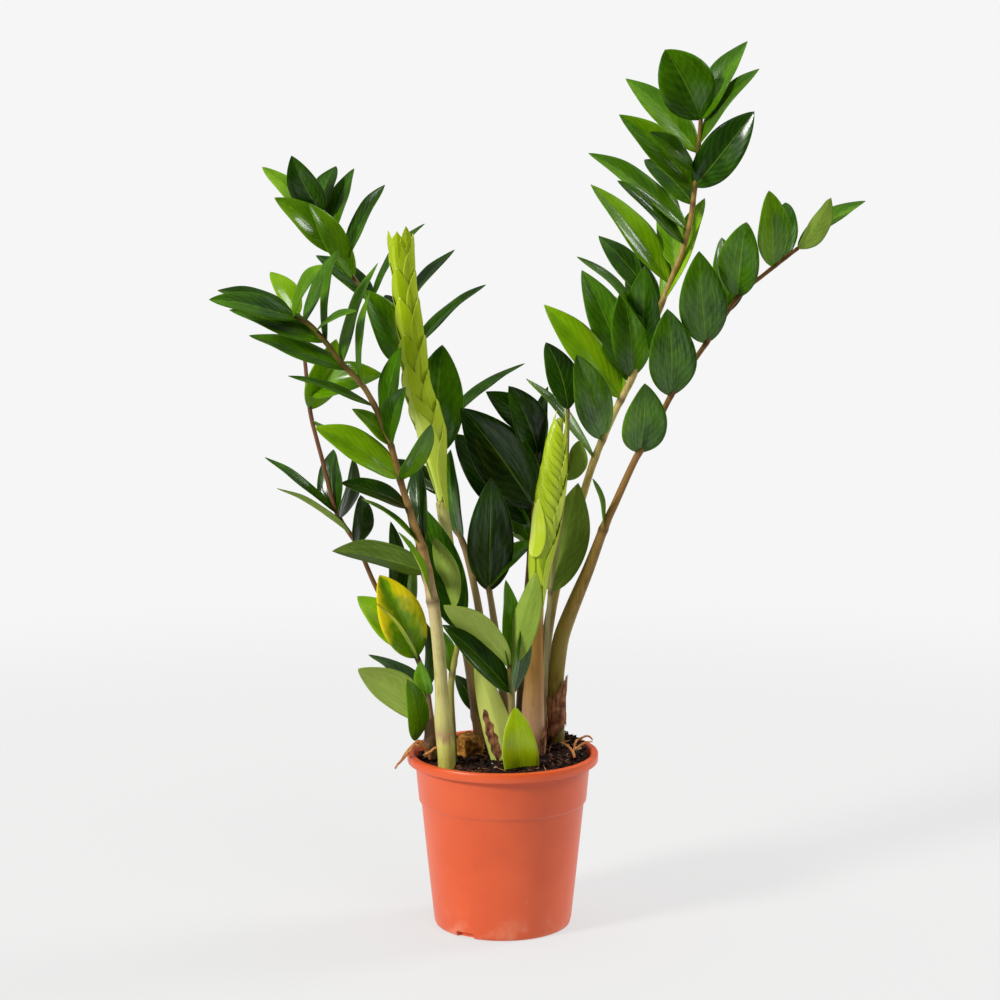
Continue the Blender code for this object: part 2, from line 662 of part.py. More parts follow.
def build_soil():
    top = bpy.data.meshes.new("soil_top")
    shape = bmesh.new()
    bmesh.ops.create_grid(shape, x_segments=10, y_segments=10, size=84.0 * MM)
    for vert in shape.verts:
        vert.co.z = soil_height(vert.co.x / MM, vert.co.y / MM) * MM
    lift = bmesh.ops.extrude_face_region(shape, geom=shape.faces[:])
    for item in lift["geom"]:
        if isinstance(item, bmesh.types.BMVert):
            item.co.z = (FLOOR - 6.0) * MM
    bmesh.ops.recalc_face_normals(shape, faces=shape.faces)
    shape.to_mesh(top)
    shape.free()
    soil = put("potting_soil", top, PEAT, 0.95, smooth=False)
    plug = turned("soil_plug", [
        (0.0, RIM_TOP + 30.0),
        (BODY_TOP_RADIUS - WALL - SOIL_GAP + 0.2, RIM_TOP + 30.0),
        (BODY_TOP_RADIUS - WALL - SOIL_GAP, RIM_TOP - RIM_BAND),
        (STEP_RADIUS - WALL - SOIL_GAP, STEP_HEIGHT + 1.2),
        (STEP_RADIUS - 2.0 - WALL - SOIL_GAP, STEP_HEIGHT - 1.2),
        (FOOT_RADIUS - WALL - SOIL_GAP, FLOOR + SOIL_GAP),
        (0.0, FLOOR + SOIL_GAP),
    ], 36, PEAT, 0.9, home=cutters)
    joined(soil, plug, "INTERSECT")
    for name in STALKS:
        place, radius = stalk_points(name)[0]
        centre = (place.x / MM, place.y / MM)
        joined(soil, rod(f"socket_{name}", centre, radius / MM + 0.8, ROOT_DEPTH - 0.6, 190.0, 10), "DIFFERENCE")
    for name, route in STICKS.items():
        place = laid(*route[0][:3]) / MM
        joined(soil, rod(f"socket_{name}", (place.x, place.y), 2.4, 141.0, 190.0, 8), "DIFFERENCE")
    for name, (centre, sizes) in TUBERS.items():
        joined(soil, ball(f"socket_{name}", centre, sizes, 0.7, PEAT, cutters), "DIFFERENCE")
    return soil


build_pot()
for frond in STALKS:
    build_frond(frond)
for bud in SHOOTS:
    build_shoot(bud)
for blade in BLADES:
    build_blade(blade)
for stick in STICKS:
    build_stick(stick)
for tuber, (middle, sizes) in TUBERS.items():
    ball(tuber, middle, sizes, 0.0, TUBER)
build_soil()
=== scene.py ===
import math
import random

import bmesh
import bpy
from mathutils import Matrix, Vector, noise


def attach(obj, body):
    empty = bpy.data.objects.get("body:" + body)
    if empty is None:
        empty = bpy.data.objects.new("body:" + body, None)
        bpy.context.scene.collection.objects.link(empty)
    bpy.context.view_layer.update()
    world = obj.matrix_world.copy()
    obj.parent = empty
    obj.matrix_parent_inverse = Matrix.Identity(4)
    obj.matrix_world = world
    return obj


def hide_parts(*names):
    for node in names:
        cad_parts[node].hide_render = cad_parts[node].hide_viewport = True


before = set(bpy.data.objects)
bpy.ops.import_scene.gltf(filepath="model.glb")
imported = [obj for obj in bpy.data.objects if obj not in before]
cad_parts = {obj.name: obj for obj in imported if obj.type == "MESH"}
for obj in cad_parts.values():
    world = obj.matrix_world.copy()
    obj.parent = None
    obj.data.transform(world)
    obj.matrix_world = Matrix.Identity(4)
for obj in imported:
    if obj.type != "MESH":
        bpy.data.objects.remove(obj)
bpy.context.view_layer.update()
mm = 0.001

# Places are (across, depth, up) in mm, on the upright plane through the middle of the pot.
# Depth carries a point along the line to a spot this far in front and this high, as in the CAD.
layout = {"frontReach": 2200.0, "frontHeight": 705.0}


def laid(across, depth, up):
    grow = (layout["frontReach"] + depth) / layout["frontReach"]
    height = layout["frontHeight"] + (up - layout["frontHeight"]) * grow
    return Vector((across * grow, depth, height)) * mm


def linear(red, green, blue):
    # 0-255 screen colour to the shader's linear values
    values = []
    for part in (red, green, blue):
        share = part / 255.0
        values.append(share / 12.92 if share <= 0.04045 else ((share + 0.055) / 1.055) ** 2.4)
    return (*values, 1.0)


def smoothShare(low, high, value):
    share = max(0.0, min(1.0, (value - low) / (high - low)))
    return share * share * (3.0 - 2.0 * share)


# ---- shader helpers

class NodeDesk:
    # places nodes in one tree and wires them
    def __init__(self, tree):
        self.tree = tree
        self.column = 0

    def add(self, kind, label="", **sockets):
        node = self.tree.nodes.new(kind)
        node.label = label
        node.location = (self.column * 190, -(self.column % 4) * 160)
        self.column += 1
        for name, value in sockets.items():
            self.feed(node, name, value)
        return node

    def feed(self, node, name, value):
        socket = node.inputs[int(name[1:])] if name[:1] == "i" and name[1:].isdigit() else node.inputs[name]
        if isinstance(value, bpy.types.NodeSocket):
            self.tree.links.new(value, socket)
        else:
            socket.default_value = value

    def math(self, operation, first, second=0.0, clamp=False):
        node = self.add("ShaderNodeMath", i0=first, i1=second)
        node.operation = operation
        node.use_clamp = clamp
        return node.outputs[0]

    def ramp(self, value, stops, smooth=False):
        node = self.add("ShaderNodeValToRGB", Fac=value)
        bar = node.color_ramp
        bar.interpolation = "EASE" if smooth else "LINEAR"
        while len(bar.elements) < len(stops):
            bar.elements.new(0.5)
        for element, (place, colour) in zip(bar.elements, stops):
            element.position = place
            element.color = colour if len(colour) == 4 else (*colour, 1.0)
        return node.outputs["Color"]

    def mix(self, share, first, second, way="MIX"):
        node = self.add("ShaderNodeMix")
        node.data_type = "RGBA"
        node.blend_type = way
        self.feed(node, "i0", share)
        for socket, value in ((node.inputs[6], first), (node.inputs[7], second)):
            if isinstance(value, bpy.types.NodeSocket):
                self.tree.links.new(value, socket)
            else:
                socket.default_value = value
        return node.outputs[2]

    def attribute(self, name):
        node = self.add("ShaderNodeAttribute")
        node.attribute_name = name
        return node

    def noise(self, where, scale, detail=3.0, rough=0.55):
        node = self.add("ShaderNodeTexNoise", Vector=where, Scale=scale, Detail=detail, Roughness=rough)
        return node.outputs[0]

    def step(self, low, high, value):
        node = self.add("ShaderNodeMapRange", Value=value)
        node.interpolation_type = "SMOOTHSTEP"
        node.inputs["From Min"].default_value = low
        node.inputs["From Max"].default_value = high
        return node.outputs[0]


def newMaterial(name, shader):
    look = bpy.data.materials.new(name)
    look.use_nodes = True
    desk = NodeDesk(look.node_tree)
    surface = look.node_tree.nodes["Principled BSDF"]
    surface.location = (2600, 0)
    look.node_tree.nodes["Material Output"].location = (2900, 0)
    for socket, value in shader.items():
        surface.inputs[socket].default_value = value
    return look, desk, surface


def newGroup(name, ins, outs):
    group = bpy.data.node_groups.new(name, "ShaderNodeTree")
    for label, kind, value in ins:
        socket = group.interface.new_socket(name=label, in_out="INPUT", socket_type=kind)
        if value is not None:
            socket.default_value = value
    for label, kind in outs:
        group.interface.new_socket(name=label, in_out="OUTPUT", socket_type=kind)
    desk = NodeDesk(group)
    start = desk.add("NodeGroupInput")
    end = desk.add("NodeGroupOutput")
    end.location = (2600, 0)
    return group, desk, start, end


def objectPlace(desk):
    return desk.add("ShaderNodeTexCoord").outputs["Object"]


# ---- shared effect: veins of a leaf, read from its own map (across 0-1, along 0-1)

def makeLeafVeins():
    group, desk, start, end = newGroup(
        "leafVeins",
        [("Seed", "NodeSocketFloat", 0.0), ("Side Veins", "NodeSocketFloat", 9.0)],
        [("Midrib", "NodeSocketFloat"), ("Veins", "NodeSocketFloat"), ("Ripple", "NodeSocketFloat"),
         ("Margin", "NodeSocketFloat"), ("Blotch", "NodeSocketFloat"), ("Fine", "NodeSocketFloat"),
         ("Striae", "NodeSocketFloat"), ("Along", "NodeSocketFloat"), ("Half", "NodeSocketFloat")],
    )
    chart = desk.add("ShaderNodeUVMap")
    chart.uv_map = "leafMap"
    split = desk.add("ShaderNodeSeparateXYZ", Vector=chart.outputs[0])
    across, along = split.outputs[0], split.outputs[1]
    offset = desk.math("SUBTRACT", across, 0.5)
    half = desk.math("MULTIPLY", desk.math("ABSOLUTE", offset), 2.0)
    taper = desk.math("MULTIPLY_ADD", along, -0.045)
    taper.node.inputs[2].default_value = 0.062
    midrib = desk.math("SUBTRACT", 1.0, desk.math("DIVIDE", half, taper), clamp=True)
    place = objectPlace(desk)
    wobble = desk.noise(place, 46.0, 2.0)
    # side veins leave the midrib slanting towards the tip, and bend more near the margin
    lean = desk.math("MULTIPLY", desk.math("POWER", half, 1.3), -0.34)
    shaken = desk.math("ADD", desk.math("ADD", along, lean), desk.math("MULTIPLY", wobble, 0.16))
    waves = desk.math("MULTIPLY", shaken, desk.math("MULTIPLY", start.outputs["Side Veins"], 6.283))
    crest = desk.math("SINE", desk.math("ADD", waves, desk.math("MULTIPLY", start.outputs["Seed"], 6.0)))
    ripple = desk.math("MULTIPLY_ADD", crest, 0.5)
    ripple.node.inputs[2].default_value = 0.5
    veins = desk.math("POWER", ripple, 6.0)
    margin = desk.step(0.955, 1.0, half)
    blotch = desk.noise(place, 30.0, 3.0)
    fine = desk.noise(place, 420.0, 3.0)
    thread = desk.add("ShaderNodeCombineXYZ", X=desk.math("MULTIPLY", across, 30.0), Y=desk.math("MULTIPLY", along, 2.6),
                      Z=desk.math("MULTIPLY", start.outputs["Seed"], 40.0))
    striae = desk.noise(thread.outputs[0], 1.0, 3.0, 0.6)
    for label, value in (("Midrib", midrib), ("Veins", veins), ("Ripple", ripple), ("Margin", margin), ("Blotch", blotch),
                         ("Fine", fine), ("Striae", striae), ("Along", along), ("Half", half)):
        desk.feed(end, label, value)
    return group


# ---- leaf finishes

leafFinish = {
    "upper": [(0.0, linear(12, 30, 1)), (0.2, linear(34, 72, 1)), (0.4, linear(76, 126, 2)),
              (0.65, linear(132, 182, 8)), (1.0, linear(182, 220, 24))],
    "under": [(0.0, linear(70, 94, 24)), (0.4, linear(134, 160, 60)), (0.7, linear(174, 196, 92)),
              (1.0, linear(206, 224, 116))],
    "rib": linear(146, 182, 56),
    "edge": linear(134, 172, 56),
    "yellow": linear(255, 232, 24),
    "upperRough": 0.38,
    "underRough": 0.5,
}


def leafMaterial(name, veinGroup, upper):
    shader = {"Specular IOR Level": 0.12 if upper else 0.1, "Coat Weight": 0.5 if upper else 0.0,
              "Coat Roughness": 0.17}
    look, desk, surface = newMaterial(name, shader)
    toneAndLight = desk.attribute("toneAndLight").outputs["Fac"]
    seed = desk.attribute("seed").outputs["Fac"]
    yellow = desk.attribute("yellow").outputs["Fac"]
    veins = desk.add("ShaderNodeGroup")
    veins.node_tree = veinGroup
    desk.feed(veins, "Seed", seed)
    out = veins.outputs

    def centred(name, amount):
        return desk.math("MULTIPLY", desk.math("SUBTRACT", out[name], 0.5), amount)

    shade = desk.math("ADD", toneAndLight, centred("Blotch", 0.42 if upper else 0.3))
    shade = desk.math("ADD", shade, centred("Striae", 0.22 if upper else 0.4))
    shade = desk.math("ADD", shade, centred("Ripple", 0.035 if upper else 0.03))
    shade = desk.math("ADD", shade, centred("Fine", 0.08), clamp=True)
    colour = desk.ramp(shade, leafFinish["upper" if upper else "under"])
    colour = desk.mix(desk.math("MULTIPLY", out["Midrib"], 0.42 if upper else 0.3), colour, leafFinish["rib"])
    colour = desk.mix(desk.math("MULTIPLY", out["Veins"], 0.025), colour, leafFinish["rib"])
    colour = desk.mix(desk.math("MULTIPLY", out["Margin"], 0.3), colour, leafFinish["edge"])
    # ageing leaves: yellow creeps in from the tip and the margin
    aged = desk.math("ADD", desk.math("MULTIPLY", out["Along"], 0.75), desk.math("MULTIPLY", out["Half"], 0.6))
    aged = desk.math("ADD", aged, centred("Blotch", 1.5))
    agedShare = desk.math("MULTIPLY", desk.step(0.56, 0.98, aged), yellow)
    colour = desk.mix(agedShare, colour, leafFinish["yellow"])
    desk.feed(surface, "Base Color", colour)
    if upper:
        # gloss breaks into streaks that follow the blade
        gloss = desk.math("MULTIPLY", desk.step(0.36, 0.62, out["Striae"]), 0.62)
        inner = desk.step(0.97, 0.8, out["Half"])
        desk.feed(surface, "Coat Weight", desk.math("MULTIPLY", desk.math("ADD", gloss, 0.12), inner))
    rough = leafFinish["upperRough"] if upper else leafFinish["underRough"]
    varied = desk.math("MULTIPLY_ADD", out["Blotch"], 0.2)
    varied.node.inputs[2].default_value = rough - 0.1
    desk.feed(surface, "Roughness", varied)
    height = desk.math("ADD", desk.math("MULTIPLY", out["Ripple"], 0.5 if upper else 0.3),
                       desk.math("MULTIPLY", out["Midrib"], -1.0 if upper else 1.3))
    height = desk.math("ADD", height, desk.math("MULTIPLY", out["Fine"], 0.25))
    height = desk.math("ADD", height, desk.math("MULTIPLY", out["Striae"], 0.3 if upper else 0.8))
    height = desk.math("ADD", height, desk.math("MULTIPLY", out["Blotch"], 3.0))
    bump = desk.add("ShaderNodeBump", Height=height, Strength=0.5, Distance=0.0005)
    desk.feed(surface, "Normal", bump.outputs[0])
    return look


# ---- leaf shape

leafShape = {"rows": 26, "columns": 12, "thick": 0.5, "riseOut": 0.72, "riseIn": 0.84,
             "foldLeast": 0.26, "foldMost": 0.48, "twistMost": 16.0}


def outline(share, riseOut, riseIn):
    peak = riseOut / (riseOut + riseIn)
    top = peak ** riseOut * (1.0 - peak) ** riseIn
    return share ** riseOut * (1.0 - share) ** riseIn / top


def leafAxes(base, tip, turn):
    way = (tip - base).normalized()
    eye = laid(0.0, -layout["frontReach"], 0.0)
    toward = (eye - (base + tip) * 0.5).normalized()
    facing = (toward - way * toward.dot(way)).normalized()
    side = way.cross(facing)
    angle = math.radians(turn)
    upper = facing * math.cos(angle) + side * math.sin(angle)
    return way, upper, way.cross(upper)


def openLeafDesk():
    shape = bmesh.new()
    shape.loops.layers.uv.new("leafMap")
    layers = {name: shape.verts.layers.float.new(name) for name in ("toneAndLight", "seed", "yellow")}
    return shape, layers


def addBlade(shape, layers, base, tip, width, turn, arch, toneAndLight, seed, yellow=0.0, fold=0.3, sweep=0.0, twist=0.0,
             rises=None, rows=None, columns=None, broad=False):
    way, upper, across = leafAxes(base, tip, turn)
    span = (tip - base).length
    riseOut, riseIn = rises or (leafShape["riseOut"], leafShape["riseIn"])
    made = bmesh.ops.create_grid(shape, x_segments=columns or leafShape["columns"],
                                 y_segments=rows or leafShape["rows"], size=0.5, calc_uvs=True)
    for vert in made["verts"]:
        side = vert.co.x * 2.0
        even = vert.co.y + 0.5
        share = 0.35 * (0.5 - 0.5 * math.cos(math.pi * even)) + 0.65 * even
        if broad:
            half = (1.0 - share ** 1.9) ** 0.8 * (0.84 + 0.32 * share)
        else:
            half = outline(share, riseOut, riseIn)
        half = max(0.5 * width * half, 0.9 if share < 0.3 and not broad else 0.1) * mm
        bow = 4.0 * share * (1.0 - share)
        middle = base.lerp(tip, share) + upper * (arch * mm * bow) + across * (sweep * mm * bow)
        # a folded blade: two nearly flat halves that meet in a soft groove
        cup = fold * half * (math.sqrt(side * side + 0.03) - 0.17) - 0.10 * half * side ** 4
        wave = 0.05 * half * math.sin(10.0 * share + seed * 9.0 + (2.0 if side > 0 else 0.0)) * side ** 2
        curl = 0.02 * span * smoothShare(0.7, 1.0, share)
        angle = math.radians(twist) * (share - 0.35)
        outward = across * math.cos(angle) + upper * math.sin(angle)
        lift = upper * math.cos(angle) - across * math.sin(angle)
        vert.co = middle + outward * (half * side) + lift * (cup + wave) - upper * curl
        # one half of the fold is painted lighter and the other darker: painted light and shade on the folded blade
        vert[layers["toneAndLight"]] = toneAndLight + (0.05 if side > 0.0 else -0.03) * (1.0 if seed > 0.5 else -1.0)
        vert[layers["seed"]] = seed
        vert[layers["yellow"]] = yellow
    return made["verts"]


def closeLeafDesk(name, shape, materials, thick=None):
    mesh = bpy.data.meshes.new(name)
    shape.to_mesh(mesh)
    shape.free()
    for look in materials:
        mesh.materials.append(look)
    mesh.shade_smooth()
    item = bpy.data.objects.new(name, mesh)
    bpy.context.scene.collection.objects.link(item)
    wall = item.modifiers.new("thickness", "SOLIDIFY")
    wall.thickness = (thick or leafShape["thick"]) * mm
    wall.offset = -1.0
    wall.material_offset = 1 if len(materials) > 1 else 0
    wall.material_offset_rim = 0
    return item


# ---- stalks

stalkShape = {"sides": 18, "stepLength": 5.0, "swelling": 0.16, "swellingReach": 3.2, "rootHeight": 134.0}


def smoothRoute(points, stepLength):
    # Catmull-Rom through the route; each point is (place, radius)
    ends = [points[0]] + points + [points[-1]]
    result = []
    for index in range(1, len(ends) - 2):
        before, low, high, after = ends[index - 1:index + 3]
        count = max(2, int((high[0] - low[0]).length / (stepLength * mm)))
        for step in range(count):
            t = step / count
            parts = []
            for a, b, c, d in zip((*before[0], before[1]), (*low[0], low[1]), (*high[0], high[1]), (*after[0], after[1])):
                parts.append(0.5 * (2 * b + (c - a) * t + (2 * a - 5 * b + 4 * c - d) * t * t
                                    + (3 * b - a - 3 * c + d) * t ** 3))
            result.append((Vector(parts[:3]), parts[3]))
    result.append(points[-1])
    return result


def tube(name, route, materials, nodeHeights=(), sides=None, swelling=None, roundTip=True):
    sides = sides or stalkShape["sides"]
    swelling = stalkShape["swelling"] if swelling is None else swelling
    shape = bmesh.new()
    angleLayer = shape.verts.layers.float.new("ringAngle")
    alongLayer = shape.verts.layers.float.new("along")
    scarLayer = shape.verts.layers.float.new("scar")
    ring = bmesh.ops.create_circle(shape, segments=sides, radius=1.0)["verts"]
    for vert in ring:
        vert[angleLayer] = math.atan2(vert.co.y, vert.co.x)
    total = sum((high[0] - low[0]).length for low, high in zip(route, route[1:]))
    travelled = 0.0
    last = len(route) - 1
    for index, (place, radius) in enumerate(route):
        if index:
            travelled += (place - route[index - 1][0]).length
            edges = list({edge for vert in ring for edge in vert.link_edges
                          if edge.verts[0] in ring and edge.verts[1] in ring})
            pushed = bmesh.ops.extrude_edge_only(shape, edges=edges)
            ring = [part for part in pushed["geom"] if isinstance(part, bmesh.types.BMVert)]
        ring = set(ring)
        way = (route[min(index + 1, last)][0] - route[max(index - 1, 0)][0]).normalized()
        front = Vector((0.0, -1.0, 0.0))
        first = (front - way * front.dot(way)).normalized()
        second = way.cross(first)
        near = min((abs(place.z - height) for height in nodeHeights), default=1.0) / mm
        bulge = math.exp(-(near / stalkShape["swellingReach"]) ** 2)
        size = radius * (1.0 + swelling * bulge)
        for vert in ring:
            angle = vert[angleLayer]
            vert.co = place + (first * math.cos(angle) + second * math.sin(angle)) * size
            vert[alongLayer] = travelled / total
            vert[scarLayer] = math.exp(-(near / 1.7) ** 2)
    for side in (0, 1):
        loops = [edge for edge in shape.edges if edge.is_boundary]
        if loops:
            bmesh.ops.holes_fill(shape, edges=loops, sides=sides)
    if roundTip:
        tops = [face for face in shape.faces if len(face.verts) == sides and face.calc_center_median().z > route[0][0].z + 0.01]
        for face in tops:
            bmesh.ops.inset_region(shape, faces=[face], thickness=route[-1][1] * 0.45, depth=route[-1][1] * 0.5)
    bmesh.ops.recalc_face_normals(shape, faces=shape.faces)
    mesh = bpy.data.meshes.new(name)
    shape.to_mesh(mesh)
    shape.free()
    for look in materials:
        mesh.materials.append(look)
    mesh.shade_smooth()
    item = bpy.data.objects.new(name, mesh)
    bpy.context.scene.collection.objects.link(item)
    return item


def makeStalkSkin():
    # shared effect: long fibre streaks and flecks on a stalk
    group, desk, start, end = newGroup(
        "stalkSkin",
        [("Streak Depth", "NodeSocketFloat", 0.5)],
        [("Streaks", "NodeSocketFloat"), ("Flecks", "NodeSocketFloat"), ("Height", "NodeSocketFloat")],
    )
    place = objectPlace(desk)
    stretch = desk.add("ShaderNodeMapping", Vector=place, Scale=(1.0, 1.0, 0.06))
    streaks = desk.noise(stretch.outputs[0], 520.0, 4.0, 0.6)
    patches = desk.noise(place, 38.0, 3.0)
    flecks = desk.step(0.62, 0.74, desk.noise(place, 300.0, 2.0))
    blend = desk.math("ADD", desk.math("MULTIPLY", streaks, start.outputs["Streak Depth"]), desk.math("MULTIPLY", patches, 0.5))
    desk.feed(end, "Streaks", blend)
    desk.feed(end, "Flecks", flecks)
    desk.feed(end, "Height", desk.math("ADD", desk.math("MULTIPLY", streaks, 0.7), desk.math("MULTIPLY", flecks, -0.5)))
    return group


def stalkMaterial(name, skinGroup, stops, rough=0.42):
    look, desk, surface = newMaterial(name, {"Specular IOR Level": 0.2, "Coat Weight": 0.12, "Coat Roughness": 0.25})
    along = desk.attribute("along").outputs["Fac"]
    scar = desk.attribute("scar").outputs["Fac"]
    skin = desk.add("ShaderNodeGroup")
    skin.node_tree = skinGroup
    shift = desk.math("ADD", along, desk.math("MULTIPLY", desk.math("SUBTRACT", skin.outputs["Streaks"], 0.5), 0.12), clamp=True)
    colour = desk.ramp(shift, stops)
    dark = desk.mix(1.0, colour, linear(186, 164, 120), "MULTIPLY")
    colour = desk.mix(desk.step(0.45, 0.75, skin.outputs["Streaks"]), colour, dark)
    colour = desk.mix(desk.math("MULTIPLY", skin.outputs["Flecks"], 0.22), colour, linear(84, 60, 34))
    colour = desk.mix(desk.math("MULTIPLY", scar, 0.75), colour, linear(84, 60, 34))
    desk.feed(surface, "Base Color", colour)
    varied = desk.math("MULTIPLY_ADD", skin.outputs["Streaks"], 0.2)
    varied.node.inputs[2].default_value = rough - 0.1
    desk.feed(surface, "Roughness", varied)
    bump = desk.add("ShaderNodeBump", Height=skin.outputs["Height"], Strength=0.45, Distance=0.0005)
    desk.feed(surface, "Normal", bump.outputs[0])
    return look


veinGroup = makeLeafVeins()
skinGroup = makeStalkSkin()
leafUpper = leafMaterial("leafUpperSide", veinGroup, True)
leafUnder = leafMaterial("leafUnderSide", veinGroup, False)
print("leaf and stalk finishes made")

paleGreen, paleTan, brown = linear(178, 178, 96), linear(186, 172, 122), linear(126, 98, 58)
reddish, olive, darkBase = linear(140, 96, 72), linear(134, 128, 62), linear(96, 78, 44)

# ---- fronds
# route rows are (across, depth, up, radius) in mm; leaf rows are (height where it leaves the stalk,
# tip across, tip up, tip depth, width, turn, arch, tone). A turn of 0 shows the upper side,
# 90 the edge and 180 the under side; tone runs from 0, darkest, to 1, lime, and is partly the leaf's own
# colour and partly painted light: leaves lit from behind, and some that stand in shade, are painted brighter.
# Two more values may follow: how far yellow has spread, and how far beside the stalk the leaf starts.

frontLeftFrond = {
    "node": "front_left_stalk", "leafNode": "front_left_leaf_", "slot": "stalk_pale",
    "route": [
        (-50, -38, 150, 7.8), (-51, -39, 165, 8.1), (-53, -41, 185, 7.7), (-54, -43, 205, 6.0),
        (-56, -46, 240, 5.6), (-60, -49, 280, 5.3), (-67, -50, 320, 4.6), (-71, -51, 340, 3.9),
        (-78, -52, 360, 3.4), (-84, -53, 380, 3.0), (-90, -54, 400, 2.8), (-101, -56, 440, 2.6),
        (-120, -58, 480, 2.4), (-140, -59, 502, 2.2), (-155, -60, 522, 2.1), (-168, -60, 536, 1.9),
        (-182, -60, 543, 1.6),
    ],
    "stalkColours": [(0.0, linear(180, 190, 70)), (0.085, linear(204, 204, 110)), (0.105, linear(184, 150, 110)),
                     (0.13, linear(202, 198, 118)), (0.30, linear(204, 194, 130)), (0.40, linear(206, 174, 138)),
                     (0.46, linear(176, 138, 84)), (0.72, linear(150, 116, 72)), (1.0, linear(112, 104, 36))],
    "leaves": [
        (543, -247, 567, -50, 25, 52, 2, 0.24),
        (541, -254, 559, -96, 26, 48, 2, 0.30),
        (521, -237, 550, -58, 30, 42, 2, 0.32),
        (497, -220, 528, -60, 26, 50, 2, 0.30),
        (465, -186, 493, -100, 20, 70, 2, 0.28),
        (402, -163, 447, -84, 34, 40, 4, 0.62),
        (375, -141, 398, -80, 22, 46, 2, 0.12),
        (446, -90, 516, -86, 28, -55, 3, 0.30),
        (430, -86, 481, -100, 24, -48, 3, 0.20),
        (399, -62, 448, -86, 26, 52, 3, 0.40),
        (502, -110, 590, -40, 30, -70, 4, 0.36),
        (538, -143, 603, -4, 22, -60, 2, 0.26),
        (520, -146, 598, -64, 20, -70, 2, 0.34),
        (484, -117, 565, -92, 28, -76, 3, 0.36),
        (431, -131, 463, -60, 20, 45, 2, 0.5),
        (341, -122, 384, -68, 16, 74, 3, 0.56),
        (543, -157, 588, -104, 24, -65, 3, 0.46),
        (530, -128, 549, -112, 15, -70, 3, 0.34),
        (292, -90, 354, -80, 22, 75, 3, 0.55),
        (338, -75, 417, -20, 24, -40, 3, 0.16),
        (318, -149, 338, -10, 34, 132, 2, 0.0),
    ],
}

rightFrond = {
    "node": "right_stalk", "leafNode": "right_leaf_", "slot": "stalk_brown",
    "route": [
        (48, 16, 168, 7.2), (47, 16, 200, 7.4), (47, 16, 222, 7.4), (49, 16, 242, 7.4),
        (52, 15, 260, 7.2), (59, 14, 280, 6.6), (67, 12, 300, 6.0), (76, 10, 322, 5.2),
        (90, 6, 360, 3.9), (99, 4, 380, 3.4), (117, 0, 420, 3.0), (130, -2, 440, 2.8),
        (150, -4, 480, 2.4), (177, -6, 520, 2.2), (204, -8, 560, 2.0), (227, -10, 580, 1.8),
        (255, -12, 602, 1.5),
    ],
    "stalkColours": [(0.0, darkBase), (0.12, linear(128, 118, 34)), (0.3, linear(150, 124, 56)),
                     (0.5, linear(146, 108, 56)), (1.0, linear(136, 92, 48))],
    "leaves": [
        (424, 124, 484, -30, 40, 12, 4, 0.32),
        (474, 143, 549, -32, 42, 10, 4, 0.28),
        (520, 170, 599, -34, 42, 10, 4, 0.30),
        (560, 210, 624, -40, 36, -12, 4, 0.34),
        (546, 190, 612, 26, 34, 30, 4, 0.36),
        (586, 230, 651, -38, 32, 30, 3, 0.50),
        (594, 243, 642, 24, 32, -25, 3, 0.22),
        (602, 284, 645, -34, 28, 128, 3, 0.2),
        (602, 312, 644, 2, 28, -60, 3, 0.36),
        (356, 80, 401, -22, 15, 74, 3, 0.42),
    ],
}

farLeftFrond = {
    "node": "far_left_frond", "slot": "leaf_mid",
    "route": [
        (-64, -8, 154, 5.4), (-64, -8, 166, 5.6), (-65, -8, 182, 4.6), (-66, -7, 202, 2.7),
        (-70, -5, 225, 2.4), (-79, -2, 248, 2.3), (-95, 2, 273, 2.2), (-112, 6, 305, 2.1),
        (-128, 10, 342, 2.0), (-146, 12, 372, 2.0), (-158, 13, 418, 1.9), (-168, 14, 460, 1.8),
        (-172, 14, 503, 1.7), (-177, 14, 545, 1.4),
    ],
    "stalkColours": [(0.0, linear(150, 122, 84)), (0.08, linear(142, 116, 84)), (0.14, linear(150, 120, 92)),
                     (0.4, linear(120, 90, 54)), (0.7, reddish), (1.0, linear(122, 84, 70))],
    "leaves": [
        (184, -128, 232, -24, 38, 150, 5, 0.52),
        (200, -118, 245, 24, 32, 60, 4, 0.2),
        (166, -84, 221, -34, 24, 35, 4, 0.46, 0.0, -13),
        (206, -73, 238, -18, 18, -30, 3, 0.42),
        (212, -67, 273, 6, 26, 62, 3, 0.2),
        (241, -108, 315, -22, 42, 18, 5, 0.60, 0.92),
        (238, -111, 292, -56, 14, 102, 3, 0.5, 0.25),
        (246, -128, 297, 20, 36, 30, 4, 0.68),
        (272, -97, 363, 12, 26, 45, 3, 0.16),
        (262, -79, 345, 2, 22, 65, 3, 0.5),
        (342, -124, 386, -8, 22, 35, 3, 0.14),
        (452, -145, 446, -16, 12, 60, 2, 0.4),
        (462, -144, 523, 4, 32, 30, 3, 0.6),
        (478, -105, 493, -14, 34, -35, 4, 0.5),
        (372, -149, 427, 34, 30, -42, 3, 0.16),
        (366, -130, 419, -16, 26, 58, 3, 0.16),
        (370, -207, 421, 4, 17, 64, 2, 0.26),
        (352, -197, 394, -22, 17, 106, 2, 0.3),
        (545, -201, 582, 22, 24, 40, 3, 0.66),
    ],
}

